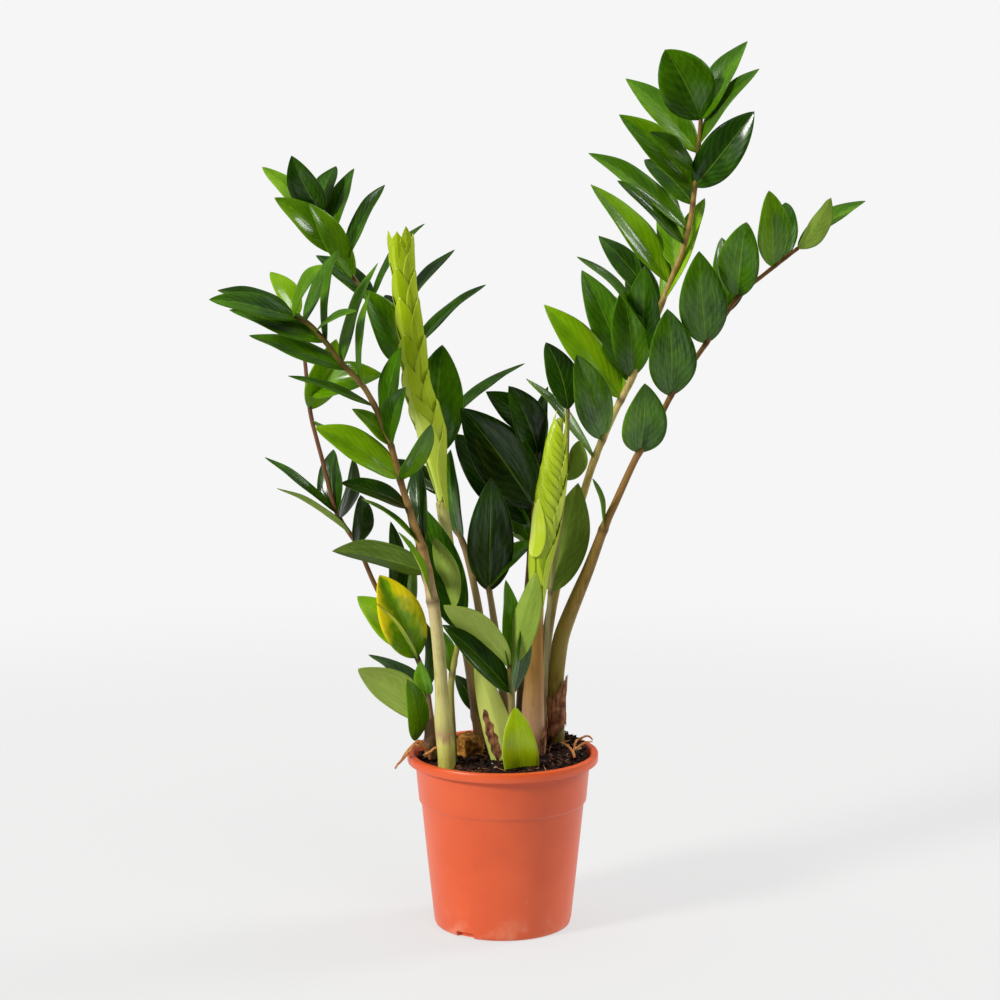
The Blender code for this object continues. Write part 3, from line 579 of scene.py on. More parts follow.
backLeftFrond = {
    "node": "back_left_frond", "slot": "leaf_dark",
    "route": [
        (-8, 32, 172, 5.4), (-12, 34, 210, 5.0), (-18, 36, 255, 4.0), (-22, 38, 290, 3.4),
        (-33, 42, 338, 2.8), (-44, 46, 366, 2.5), (-53, 50, 402, 2.4), (-61, 54, 442, 2.3),
        (-73, 58, 482, 2.2), (-88, 62, 520, 2.1), (-108, 66, 552, 2.0), (-129, 70, 576, 1.9),
        (-146, 74, 605, 1.7), (-156, 76, 632, 1.4),
    ],
    "stalkColours": [(0.0, darkBase), (0.3, linear(150, 130, 84)), (0.5, reddish), (1.0, linear(110, 96, 50))],
    "leaves": [
        (603, -206, 673, 90, 30, 48, 3, 0.58),
        (632, -182, 681, 60, 30, -20, 3, 0.16),
        (598, -196, 646, 52, 32, 34, 3, 0.5),
        (576, -166, 641, 44, 27, 38, 3, 0.46),
        (632, -144, 673, 98, 26, -46, 3, 0.18),
        (613, -129, 671, 92, 28, -52, 3, 0.2),
        (588, -103, 657, 64, 26, -62, 3, 0.2),
        (558, -69, 624, 50, 28, -74, 4, 0.2),
        (532, -43, 602, 88, 28, -73, 4, 0.2),
        (508, -16, 572, 44, 28, -70, 4, 0.2),
        (556, -161, 597, 92, 28, 45, 3, 0.2),
        (500, -119, 566, 24, 38, 25, 4, 0.4),
        (520, -103, 562, 104, 26, -30, 3, 0.16),
        (422, -53, 518, 34, 48, -10, 4, 0.28),
        (345, -47, 426, 26, 28, -50, 3, 0.24),
        (438, 18, 504, 90, 28, -74, 3, 0.2),
        (385, -103, 418, 36, 26, 50, 3, 0.14),
    ],
}

tallRightFrond = {
    "node": "tall_right_frond", "slot": "leaf_mid",
    "route": [
        (32, 34, 166, 5.8), (34, 34, 200, 5.5), (38, 34, 250, 5.0), (44, 35, 290, 4.5),
        (52, 36, 325, 4.2), (60, 36, 352, 3.9), (70, 36, 385, 3.5), (81, 37, 420, 3.3),
        (98, 38, 460, 3.1), (112, 38, 488, 3.0), (125, 38, 520, 2.8), (140, 38, 560, 2.6),
        (156, 38, 602, 2.4), (164, 38, 640, 2.2), (170, 38, 712, 1.7),
    ],
    "stalkColours": [(0.0, darkBase), (0.4, linear(186, 166, 84)), (0.55, linear(208, 188, 118)),
                     (0.8, linear(184, 152, 84)), (1.0, linear(140, 104, 48))],
    "leaves": [
        (712, 139, 771, 18, 50, 10, 5, 0.32),
        (712, 208, 779, 44, 34, -48, 4, 0.36),
        (690, 218, 756, 12, 30, -66, 4, 0.34),
        (655, 215, 719, 12, 38, -16, 4, 0.2),
        (684, 106, 748, 58, 34, 42, 4, 0.44),
        (652, 101, 717, 20, 34, 38, 4, 0.44),
        (668, 127, 702, 2, 26, 55, 3, 0.34),
        (640, 122, 679, 76, 28, 30, 3, 0.2),
        (618, 75, 685, 40, 32, 55, 4, 0.42),
        (606, 100, 661, 8, 26, 58, 3, 0.3),
        (572, 77, 658, 58, 36, 46, 4, 0.54),
        (552, 83, 614, 84, 28, 30, 3, 0.2),
        (530, 113, 599, 66, 26, -40, 3, 0.2),
        (512, 122, 586, 8, 34, -25, 4, 0.24),
        (490, 104, 566, 18, 38, 18, 4, 0.36),
        (524, 66, 596, -4, 26, 75, 8, 0.4),
        (486, 69, 584, 70, 36, 20, 4, 0.3),
        (470, 97, 561, 84, 28, -30, 3, 0.5),
        (472, 37, 554, 28, 36, 35, 4, 0.64),
        (436, 65, 509, -12, 36, 22, 4, 0.36),
        (418, 22, 490, 20, 22, 66, 3, 0.48),
        (556, 173, 646, 66, 28, -45, 3, 0.6),
        (585, 143, 656, 88, 26, -20, 3, 0.5),
    ],
}

centreBackFrond = {
    "node": "centre_back_frond", "slot": "leaf_dark",
    "route": [
        (4, 48, 172, 4.5), (0, 48, 212, 4.0), (-6, 48, 262, 3.4), (-10, 48, 290, 2.9),
        (-13, 49, 308, 2.4),
    ],
    "stalkColours": [(0.0, darkBase), (0.5, linear(150, 130, 90)), (1.0, linear(176, 156, 110))],
    "leaves": [
        (301, -10, 401, 20, 42, 5, 4, 0.14),
        (305, 28, 346, 28, 26, -55, 3, 0.34),
    ],
}

behindShootFrond = {
    "node": "behind_shoot_frond", "slot": "leaf_dark",
    "route": [
        (15, 56, 172, 4.4), (17, 56, 220, 4.1), (21, 56, 280, 3.7), (25, 56, 340, 3.1),
        (29, 56, 390, 2.7), (32, 56, 440, 2.3), (34, 56, 468, 1.8),
    ],
    "stalkColours": [(0.0, darkBase), (0.5, linear(120, 104, 60)), (1.0, linear(110, 96, 50))],
    "leaves": [
        (375, -36, 463, 30, 52, 5, 4, 0.08),
        (360, -41, 441, 74, 44, 20, 4, 0.12),
        (436, -14, 478, 46, 30, 30, 3, 0.14),
        (424, 6, 482, 24, 34, 20, 3, 0.14),
        (405, 38, 482, 52, 26, -50, 3, 0.08),
        (345, 9, 388, 70, 24, -40, 3, 0.36),
        (334, 5, 353, 62, 14, 105, 2, 0.3),
    ],
}

lowFrontFrond = {
    "node": "low_front_frond", "slot": "leaf_mid",
    "route": [
        (9, -42, 160, 3.3), (8, -42, 200, 3.0), (7, -43, 218, 2.7), (6, -44, 234, 2.2),
    ],
    "stalkColours": [(0.0, darkBase), (0.5, linear(142, 132, 74)), (1.0, linear(138, 124, 66))],
    "leaves": [
        (233, -52, 290, -92, 30, 145, 4, 0.62),
        (210, -52, 271, -72, 30, 40, 4, 0.16),
        (233, 31, 318, -62, 28, 150, 4, 0.42),
        (228, 4, 311, -30, 26, 50, 3, 0.34),
        (206, 22, 282, -36, 26, 60, 3, 0.2),
    ],
}

innerLeftFrond = {
    "node": "inner_left_frond", "slot": "leaf_mid",
    "route": [
        (-44, -18, 162, 3.2), (-46, -18, 208, 2.9), (-44, -18, 232, 2.7), (-40, -18, 252, 2.5),
        (-38, -18, 270, 2.1), (-43, -20, 286, 1.6),
    ],
    "stalkColours": [(0.0, darkBase), (0.4, linear(160, 156, 84)), (1.0, linear(158, 160, 70))],
    "leaves": [
        (266, -75, 381, -8, 38, 10, 5, 0.2),
        (286, -60, 350, -36, 24, 142, 2, 0.5),
        (226, -54, 266, -4, 18, 40, 2, 0.4),
    ],
}

thinRightFrond = {
    "node": "thin_right_frond", "slot": "leaf_under_side",
    "route": [
        (37, 12, 168, 2.4), (38, 12, 200, 2.3), (39, 12, 250, 2.2), (42, 12, 300, 2.1),
        (48, 12, 342, 2.0), (53, 11, 382, 1.9), (56, 10, 420, 1.8), (57, 9, 462, 1.5),
    ],
    "stalkColours": [(0.0, linear(150, 132, 100)), (0.4, linear(160, 156, 110)), (1.0, olive)],
    "leaves": [
        (300, 67, 397, 22, 42, 160, 5, 0.22),
        (400, 69, 435, -6, 24, 140, 3, 0.3),
        (462, 38, 521, 26, 30, 25, 3, 0.14),
    ],
}

leftShootFrond = {
    "node": "left_shoot_stalk", "slot": "stalk_pale",
    "route": [
        (-19, 24, 172, 7.2), (-23, 22, 200, 6.8), (-28, 20, 235, 6.2), (-36, 18, 275, 5.6),
        (-43, 15, 310, 5.3), (-48, 12, 342, 5.3), (-51, 10, 362, 5.4), (-54, 9, 380, 5.0),
    ],
    "stalkColours": [(0.0, darkBase), (0.3, linear(128, 102, 56)), (0.6, linear(150, 134, 76)),
                     (0.85, linear(198, 186, 122)), (1.0, linear(196, 196, 116))],
    "leaves": [(190, -42, 226, 42, 18, 20, 2, 0.1)],
}

rightShootFrond = {
    "node": "right_shoot_stalk", "slot": "stalk_brown",
    "route": [
        (27, -8, 158, 10.4), (27, -8, 180, 10.3), (27, -8, 200, 9.8), (28, -8, 222, 8.6),
        (28, -8, 260, 7.8), (29, -8, 292, 7.2),
    ],
    "stalkColours": [(0.0, linear(134, 96, 70)), (0.3, linear(176, 138, 102)), (0.6, linear(156, 116, 56)),
                     (0.85, linear(150, 108, 44)), (1.0, linear(188, 160, 78))],
    "leaves": [],
}

allFronds = [frontLeftFrond, rightFrond, farLeftFrond, backLeftFrond, tallRightFrond, centreBackFrond,
             behindShootFrond, lowFrontFrond, innerLeftFrond, thinRightFrond, leftShootFrond, rightShootFrond]


def leavingPoint(route, up):
    for low, high in zip(route, route[1:]):
        if low[2] <= up <= high[2]:
            share = (up - low[2]) / (high[2] - low[2])
            return laid(low[0] + (high[0] - low[0]) * share, low[1] + (high[1] - low[1]) * share, up)
    return laid(*route[-1][:3])


def buildFrond(frond, seedBase):
    route = frond["route"]
    points = [(laid(*row[:3]), row[3] * mm) for row in route]
    foot = points[0][0].copy()
    foot.z = stalkShape["rootHeight"] * mm
    nodeHeights = [leavingPoint(route, row[0]).z for row in frond["leaves"]]
    smooth = smoothRoute([(foot, points[0][1])] + points, stalkShape["stepLength"])
    title = frond["node"] + "_skin"
    look = stalkMaterial(title, skinGroup, frond["stalkColours"])
    stalk = tube(title, smooth, [look], nodeHeights)
    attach(stalk, "root")
    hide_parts(frond["node"])
    if not frond["leaves"]:
        return
    pick = random.Random(seedBase)
    shape, layers = openLeafDesk()
    for index, row in enumerate(frond["leaves"]):
        up, tipAcross, tipUp, tipDepth, width, turn, arch, toneAndLight = row[:8]
        yellow = row[8] if len(row) > 8 else 0.0
        aside = Vector((row[9] * mm if len(row) > 9 else 0.0, 0.0, 0.0))
        addBlade(shape, layers, leavingPoint(route, up) + aside, laid(tipAcross, tipDepth, tipUp), width, turn, arch,
                 toneAndLight, pick.random(), yellow, fold=pick.uniform(leafShape["foldLeast"], leafShape["foldMost"]),
                 sweep=pick.uniform(-2.5, 2.5), twist=pick.uniform(-1.0, 1.0) * leafShape["twistMost"],
                 rises=(pick.uniform(0.66, 0.78), pick.uniform(0.78, 0.92)))
    leaves = closeLeafDesk(frond["node"].replace("_stalk", "").replace("_frond", "") + "_leaves", shape,
                           [leafUpper, leafUnder])
    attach(leaves, "root")
    if "leafNode" in frond:
        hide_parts(*[f"{frond['leafNode']}{index + 1:02d}" for index in range(len(frond["leaves"]))])


for number, frond in enumerate(allFronds):
    buildFrond(frond, 11 + number)
print("fronds built:", len(allFronds))


# rolled shoots: young leaves pressed round the stem, the lower over the upper

shootLook = {
    "young": [(0.0, linear(114, 140, 2)), (0.3, linear(160, 188, 8)), (0.62, linear(196, 218, 46)),
              (1.0, linear(224, 238, 122))],
    "edge": linear(206, 216, 84),
    "rough": 0.34,
    "rises": {"blade": (0.42, 0.8), "over": (0.6, 0.56)},
}


def youngLeafMaterial(name):
    look, desk, surface = newMaterial(name, {"Specular IOR Level": 0.25, "Coat Weight": 0.25, "Coat Roughness": 0.2})
    toneAndLight = desk.attribute("toneAndLight").outputs["Fac"]
    veins = desk.add("ShaderNodeGroup")
    veins.node_tree = veinGroup
    veins.inputs["Side Veins"].default_value = 7.0
    desk.feed(veins, "Seed", desk.attribute("seed").outputs["Fac"])
    out = veins.outputs
    shade = desk.math("ADD", toneAndLight, desk.math("MULTIPLY", desk.math("SUBTRACT", out["Blotch"], 0.5), 0.5))
    shade = desk.math("ADD", shade, desk.math("MULTIPLY", desk.math("SUBTRACT", out["Striae"], 0.5), 0.4), clamp=True)
    colour = desk.ramp(shade, shootLook["young"])
    # margins painted paler: partly the leaflets' own pale rim, partly a painted highlight along the rolled edges
    colour = desk.mix(desk.math("MULTIPLY", desk.step(0.92, 1.0, out["Half"]), 0.5), colour, shootLook["edge"])
    desk.feed(surface, "Base Color", colour)
    varied = desk.math("MULTIPLY_ADD", out["Blotch"], 0.2)
    varied.node.inputs[2].default_value = shootLook["rough"] - 0.1
    desk.feed(surface, "Roughness", varied)
    height = desk.math("ADD", desk.math("MULTIPLY", out["Striae"], 0.9), desk.math("MULTIPLY", out["Midrib"], 0.8))
    bump = desk.add("ShaderNodeBump", Height=height, Strength=0.4, Distance=0.0005)
    desk.feed(surface, "Normal", bump.outputs[0])
    return look


youngLeaf = youngLeafMaterial("youngLeaf")

# Each rank is a row of leaflets on one side of the shoot: (side angle at the base, spread, turn towards the tip).
# An angle of 0 faces the front, -90 is left and 90 is right. A leaflet is (rank, start and length in mm, tone);
# the tone is partly painted light, raised on the low front leaflets that stand in shade.
leftShoot = {
    "node": "left_shoot_wrap",
    "axis": [(-51, 10, 366), (-54, 9, 388), (-58, 8, 411), (-62, 8, 441), (-69, 8, 464), (-75, 7, 484),
             (-79, 7, 522), (-85, 6, 567), (-88, 5, 606), (-89, 5, 622)],
    "girth": [(366, 5.2), (388, 5.8), (411, 9.0), (441, 12.6), (464, 13.4), (484, 12.0), (522, 11.8), (567, 10.4),
              (606, 10.8), (622, 10.6)],
    "ranks": {"front": (-22.0, 66.0, -4.0), "right": (84.0, 78.0, -14.0), "left": (-132.0, 82.0, 10.0)},
    "leaflets": [
        ("left", 4, 76, 0.50), ("right", 0, 84, 0.60), ("front", 14, 88, 0.84),
        ("left", 40, 66, 0.60), ("right", 42, 62, 0.60), ("front", 55, 62, 0.66),
        ("left", 68, 66, 0.40), ("right", 72, 62, 0.36), ("front", 80, 61, 0.60),
        ("left", 98, 62, 0.45), ("right", 104, 60, 0.42), ("front", 110, 58, 0.44),
        ("left", 124, 62, 0.50), ("right", 136, 62, 0.36), ("front", 142, 58, 0.55),
        ("left", 152, 60, 0.44), ("right", 164, 58, 0.50), ("front", 170, 56, 0.40),
        ("left", 180, 62, 0.50), ("right", 190, 58, 0.46), ("front", 198, 55, 0.52),
    ],
    "tuft": [(-60.0, 204, 53, 0.60), (30.0, 206, 54, 0.42), (150.0, 204, 52, 0.45), (-12.0, 210, 46, 0.35), (74.0, 206, 47, 0.5)],
}
rightShoot = {
    "node": "right_shoot_wrap",
    "axis": [(29, -8, 284), (31, -8, 300), (33, -9, 328), (37, -10, 350), (39, -10, 367), (42, -10, 389),
             (45, -10, 411), (47, -10, 434), (50, -10, 452), (51, -10, 466)],
    "girth": [(284, 8.0), (300, 8.8), (328, 10.6), (350, 11.2), (367, 12.0), (389, 12.4), (411, 11.0), (434, 8.6),
              (452, 5.6), (466, 2.6)],
    "ranks": {"over": (44.0, 84.0, -128.0), "right": (112.0, 78.0, -20.0), "left": (-104.0, 80.0, 0.0),
              "blade": (-36.0, 44.0, -10.0)},
    "leaflets": [
        ("right", -2, 84, 0.5), ("left", 0, 90, 0.66), ("right", 40, 84, 0.55), ("left", 44, 86, 0.50),
        ("over", 22, 62, 0.52), ("over", 34, 62, 0.62), ("blade", 48, 52, 0.80), ("over", 52, 54, 0.50),
        ("right", 76, 78, 0.5), ("left", 86, 78, 0.56), ("over", 63, 52, 0.62), ("over", 73, 50, 0.50),
        ("over", 83, 48, 0.60), ("over", 92, 46, 0.48), ("over", 101, 44, 0.58), ("over", 109, 42, 0.48),
        ("over", 117, 41, 0.60), ("over", 125, 40, 0.50), ("over", 132, 40, 0.62),
    ],
    "tuft": [(-80.0, 112, 66, 0.55), (84.0, 110, 69, 0.50)],
}


def along(rows, share):
    for low, high in zip(rows, rows[1:]):
        if share <= high[0]:
            local = max(0.0, (share - low[0]) / (high[0] - low[0]))
            return low[1] + (high[1] - low[1]) * local
    return rows[-1][1]


def buildShoot(shoot):
    axis = smoothRoute([(laid(*row), 0.0) for row in shoot["axis"]], 4.0)

    def axisPoint(reach):
        wanted = max(0.0, reach) * mm
        for low, high in zip(axis, axis[1:]):
            length = (high[0] - low[0]).length
            if wanted <= length:
                return low[0].lerp(high[0], wanted / length), (high[0] - low[0]).normalized()
            wanted -= length
        way = (axis[-1][0] - axis[-2][0]).normalized()
        return axis[-1][0] + way * wanted, way

    def spot(place, way, angle, radius):
        front = Vector((0.0, -1.0, 0.0))
        first = (front - way * front.dot(way)).normalized()
        second = way.cross(first)
        return place + (first * math.cos(angle) + second * math.sin(angle)) * radius * mm

    shape, layers = openLeafDesk()
    rows = [(*shoot["ranks"][rank], start, length, toneAndLight, rank) for rank, start, length, toneAndLight in shoot["leaflets"]]
    rows += [(angle, 50.0, 0.0, start, length, toneAndLight, "tuft") for angle, start, length, toneAndLight in shoot["tuft"]]
    for order, (side, spread, lean, start, length, toneAndLight, rank) in enumerate(rows):
        made = bmesh.ops.create_grid(shape, x_segments=14, y_segments=22, size=0.5, calc_uvs=True)
        for vert in made["verts"]:
            across = vert.co.x * 2.0
            share = vert.co.y + 0.5
            place, way = axisPoint(start + share * length)
            wide = outline(share, *shootLook["rises"].get(rank, (0.66, 0.92)))
            wide = max(wide, 0.03)
            centre = math.radians(side + lean * share)
            angle = centre + across * math.radians(spread) * wide
            girth = along(shoot["girth"], place.z / mm)
            under = 1.0 if rank == "blade" else 0.70 + 0.30 * smoothShare(0.0, 0.8, share)
            size = girth * under + (0.9 if rank == "blade" else 0.25)
            curved = spot(place, way, angle, size)
            # the halves are between a round wrap and two flat faces that meet in a keel
            keel = spot(place, way, centre, size + 1.0 * math.sin(math.pi * share))
            border = spot(place, way, centre + math.copysign(math.radians(spread) * wide, across), size + 0.3)
            vert.co = curved.lerp(keel.lerp(border, abs(across)), 0.6)
            # one half of each leaflet is painted lighter and the other darker: painted light and shade on the rolled
            # shoot
            vert[layers["toneAndLight"]] = toneAndLight + (0.10 if across < 0.0 else -0.12)
            vert[layers["seed"]] = (order * 0.37) % 1.0
    bmesh.ops.recalc_face_normals(shape, faces=shape.faces)
    wrap = closeLeafDesk(shoot["node"] + "_leaves", shape, [youngLeaf], 0.6)
    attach(wrap, "root")
    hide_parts(shoot["node"])
    total = sum((high[0] - low[0]).length for low, high in zip(axis, axis[1:])) / mm
    spots = [axisPoint(total * step / 14.0)[0] for step in range(14)]
    core = tube(shoot["node"] + "_core", [(place, along(shoot["girth"], place.z / mm) * 0.6 * mm) for place in spots],
                [youngLeaf], (), 14)
    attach(core, "root")


buildShoot(leftShoot)
buildShoot(rightShoot)
print("rolled shoots built")

# ---- sheaths: broad young blades at the foot

sheaths = {
    "front": {"node": "front_sheath", "base": (17, -52, 141), "tip": (11, -56, 196), "width": 36, "turn": 0, "arch": 5, "fold": 0.3, "toneAndLight": 0.16},
    # the tall sheath is set to full brightness: painted light on a blade that stands in shade
    "tall": {"node": "tall_sheath", "base": (4, -24, 148), "tip": (-24, -22, 240), "width": 31, "turn": 8, "arch": 6, "fold": -0.3, "toneAndLight": 1.0},
}
for title, sheath in sheaths.items():
    shape, layers = openLeafDesk()
    addBlade(shape, layers, laid(*sheath["base"]), laid(*sheath["tip"]), sheath["width"], sheath["turn"],
             sheath["arch"], sheath["toneAndLight"], 0.3, fold=sheath["fold"], rows=26, columns=14, broad=True)
    blade = closeLeafDesk(sheath["node"] + "_blade", shape, [youngLeaf], 1.0)
    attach(blade, "root")
    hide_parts(sheath["node"])


# ---- dry scales, root sticks and rhizomes

def dryMaterial(name, stops, scale, rough=0.8, stretchUp=0.15):
    look, desk, surface = newMaterial(name, {"Specular IOR Level": 0.2})
    place = objectPlace(desk)
    stretch = desk.add("ShaderNodeMapping", Vector=place, Scale=(1.0, 1.0, stretchUp))
    fibre = desk.noise(stretch.outputs[0], scale, 5.0, 0.65)
    spots = desk.noise(place, scale * 0.4, 3.0)
    shade = desk.math("ADD", desk.math("MULTIPLY", fibre, 0.7), desk.math("MULTIPLY", spots, 0.45), clamp=True)
    desk.feed(surface, "Base Color", desk.ramp(shade, stops))
    desk.feed(surface, "Roughness", desk.math("MULTIPLY_ADD", fibre, 0.15))
    surface.inputs["Roughness"].links[0].from_node.inputs[2].default_value = rough - 0.07
    bump = desk.add("ShaderNodeBump", Height=fibre, Strength=0.7, Distance=0.001)
    desk.feed(surface, "Normal", bump.outputs[0])
    return look


dryScale = dryMaterial("dryScale", [(0.3, linear(44, 22, 14)), (0.5, linear(104, 60, 38)), (0.72, linear(176, 128, 88))], 420.0)
dryRoot = dryMaterial("dryRoot", [(0.3, linear(96, 50, 24)), (0.55, linear(178, 114, 62)), (0.8, linear(224, 178, 116))], 500.0)
corky = dryMaterial("corkyRhizome", [(0.34, linear(34, 24, 12)), (0.5, linear(112, 72, 26)), (0.66, linear(190, 134, 52))], 200.0, 0.75, 1.0)

dryFlake = {"node": "dry_flake", "base": (-3, -46, 148), "tip": (-17, -44, 194), "width": 8, "arch": 2}
# torn scales wrapped round a stalk: the angle runs from left to right of the front, heights are at both ends
tornScales = {
    "right": {"node": "dry_bract_right", "route": rightFrond["route"], "angles": (-112.0, 84.0), "radius": 8.6,
              "low": (160.0, 184.0), "high": (192.0, 226.0), "jag": 8.0, "seed": 3.0},
    "shoot": {"node": "dry_bract_shoot", "route": rightShootFrond["route"], "angles": (28.0, 112.0), "radius": 11.2,
              "low": (152.0, 156.0), "high": (170.0, 186.0), "jag": 5.0, "seed": 8.0},
}


def buildFlake():
    shape, layers = openLeafDesk()
    made = addBlade(shape, layers, laid(*dryFlake["base"]), laid(*dryFlake["tip"]), dryFlake["width"], 0,
                    dryFlake["arch"], 0.5, 0.2, fold=0.4, rises=(0.35, 0.5))
    for vert in made:
        vert.co += noise.noise_vector(vert.co * 190.0) * 0.0018
    flake = closeLeafDesk("dry_flake_skin", shape, [dryScale], 0.5)
    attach(flake, "root")
    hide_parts("dry_flake")


def buildTornScale(scale):
    shape, layers = openLeafDesk()
    made = bmesh.ops.create_grid(shape, x_segments=40, y_segments=16, size=0.5, calc_uvs=True)["verts"]
    for vert in made:
        side, rise = vert.co.x + 0.5, vert.co.y + 0.5
        tear = scale["jag"] * noise.noise(Vector((side * 11.0, scale["seed"], 0.0)))
        tear += scale["jag"] * 0.6 * noise.noise(Vector((side * 31.0, scale["seed"], 4.0)))
        low = scale["low"][0] + (scale["low"][1] - scale["low"][0]) * side + tear * 0.6
        high = scale["high"][0] + (scale["high"][1] - scale["high"][0]) * side + tear * 2.0
        up = low + (high - low) * rise
        angle = math.radians(scale["angles"][0] + (scale["angles"][1] - scale["angles"][0]) * side)
        loose = 1.6 * rise ** 3 + 0.8 * noise.noise(Vector((side * 7.0, rise * 4.0, scale["seed"])))
        radius = (scale["radius"] + loose) * mm
        vert.co = leavingPoint(scale["route"], max(up, scale["route"][0][2])) + Vector((math.sin(angle), -math.cos(angle), 0.0)) * radius
        vert.co.z = leavingPoint(scale["route"], max(up, scale["route"][0][2])).z - max(0.0, scale["route"][0][2] - up) * mm
    bmesh.ops.recalc_face_normals(shape, faces=shape.faces)
    skin = closeLeafDesk(scale["node"] + "_skin", shape, [dryScale], 0.5)
    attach(skin, "root")
    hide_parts(scale["node"])


buildFlake()
for scale in tornScales.values():
    buildTornScale(scale)

rootSticks = {
    "left": {"node": "root_stick_left",
             "route": [(-64, -18, 149, 1.6), (-69, -20, 160, 1.8), (-75, -22, 165, 1.7), (-85, -24, 155, 1.5), (-96, -26, 140, 0.8)]},
    "right": {"node": "root_stick_right",
              "route": [(63, -4, 152, 1.2), (64, -2, 160, 1.1), (66, 6, 166, 1.1), (75, 12, 170, 1.0), (80, 16, 167, 0.6)]},
    "leftShort": {"route": [(-72, -24, 160, 1.0), (-78, -25, 162, 1.1), (-86, -27, 152, 1.0), (-91, -28, 146, 0.5)]},
    "rightFork": {"route": [(53, -28, 164, 0.8), (58, -32, 161, 1.1), (62, -36, 156, 1.3), (64, -40, 150, 1.2)]},
    "rightArm": {"route": [(62, -36, 156, 1.1), (67, -31, 160, 1.1), (73, -25, 164, 1.0), (80, -18, 165, 0.5)]},
    "nearStub": {"route": [(-70, -34, 152, 1.0), (-63, -38, 157, 1.2), (-58, -40, 160, 1.1), (-54, -42, 156, 0.6)]},
}
for title, stick in rootSticks.items():
    points = smoothRoute([(laid(*row[:3]), row[3] * mm) for row in stick["route"]], 2.5)
    points = [(place + noise.noise_vector(place * 180.0) * 0.0009, radius) for place, radius in points]
    twig = tube(stick.get("node", "root_" + title) + "_skin", points, [dryRoot], (), 9)
    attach(twig, "root")
    if "node" in stick:
        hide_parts(stick["node"])

rhizomes = {
    "left": {"node": "rhizome_left", "centre": (-30, 2, 158), "sizes": (13, 10, 15)},
    "right": {"node": "rhizome_right", "centre": (50, 40, 157), "sizes": (9, 9, 9)},
}
for title, tuber in rhizomes.items():
    shape = bmesh.new()
    bmesh.ops.create_icosphere(shape, subdivisions=5, radius=1.0)
    bmesh.ops.scale(shape, vec=[size * mm for size in tuber["sizes"]], verts=shape.verts)
    bmesh.ops.translate(shape, vec=Vector(tuber["centre"]) * mm, verts=shape.verts)
    for vert in shape.verts:
        rough = 0.0034 * noise.noise(vert.co * 110.0) + 0.0016 * noise.noise(vert.co * 300.0) + 0.0006 * noise.noise(vert.co * 800.0)
        vert.co += (vert.co - Vector(tuber["centre"]) * mm).normalized() * rough
    mesh = bpy.data.meshes.new(tuber["node"] + "_skin")
    shape.to_mesh(mesh)
    shape.free()
    mesh.materials.append(corky)
    mesh.shade_smooth()
    lump = bpy.data.objects.new(tuber["node"] + "_skin", mesh)
    bpy.context.scene.collection.objects.link(lump)
    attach(lump, "root")
    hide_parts(tuber["node"])
print("sheaths, dry scales, roots and rhizomes built")

# ---- nursery pot

potShape = {
    "steps": 144,
    # radius and height in mm, from the middle of the floor inside, over the rim and down to the foot
    "profile": [
        (0.0, 8.0), (57.5, 8.0), (59.4, 9.2), (70.6, 110.4), (71.2, 111.6), (72.6, 112.9), (73.0, 114.0),
        (76.0, 147.6), (77.4, 151.0), (78.4, 155.0), (79.2, 156.2), (80.4, 156.6), (83.4, 156.5), (84.5, 156.1),
        (85.0, 155.0), (84.9, 149.6), (84.5, 148.6), (83.6, 148.1), (78.4, 147.9), (77.8, 147.2), (77.5, 145.8),
        (74.7, 114.6), (74.4, 113.4), (72.7, 111.8), (72.4, 110.8), (67.0, 57.0), (61.5, 5.2), (61.0, 2.6),
        (60.2, 1.0), (58.6, 0.1), (57.8, 0.0), (48.6, 0.0), (48.0, 0.4), (46.2, 5.3), (45.6, 5.5), (26.4, 5.5),
        (25.8, 5.2), (24.4, 0.4), (23.8, 0.0), (0.0, 0.0),
    ],
    "notchTurns": (-123.0, -3.0, 117.0), "notchWidth": 18.0, "notchHeight": 5.5,
    "drainTurn": 17.0, "drainRadius": 4.0, "drainCircle": 36.0,
}
potLook = {
    "body": [(0.25, linear(210, 80, 32)), (0.5, linear(220, 88, 40)), (0.8, linear(228, 98, 50))],
    "scuff": linear(232, 150, 118), "dirt": linear(84, 44, 26), "rough": 0.36,
}


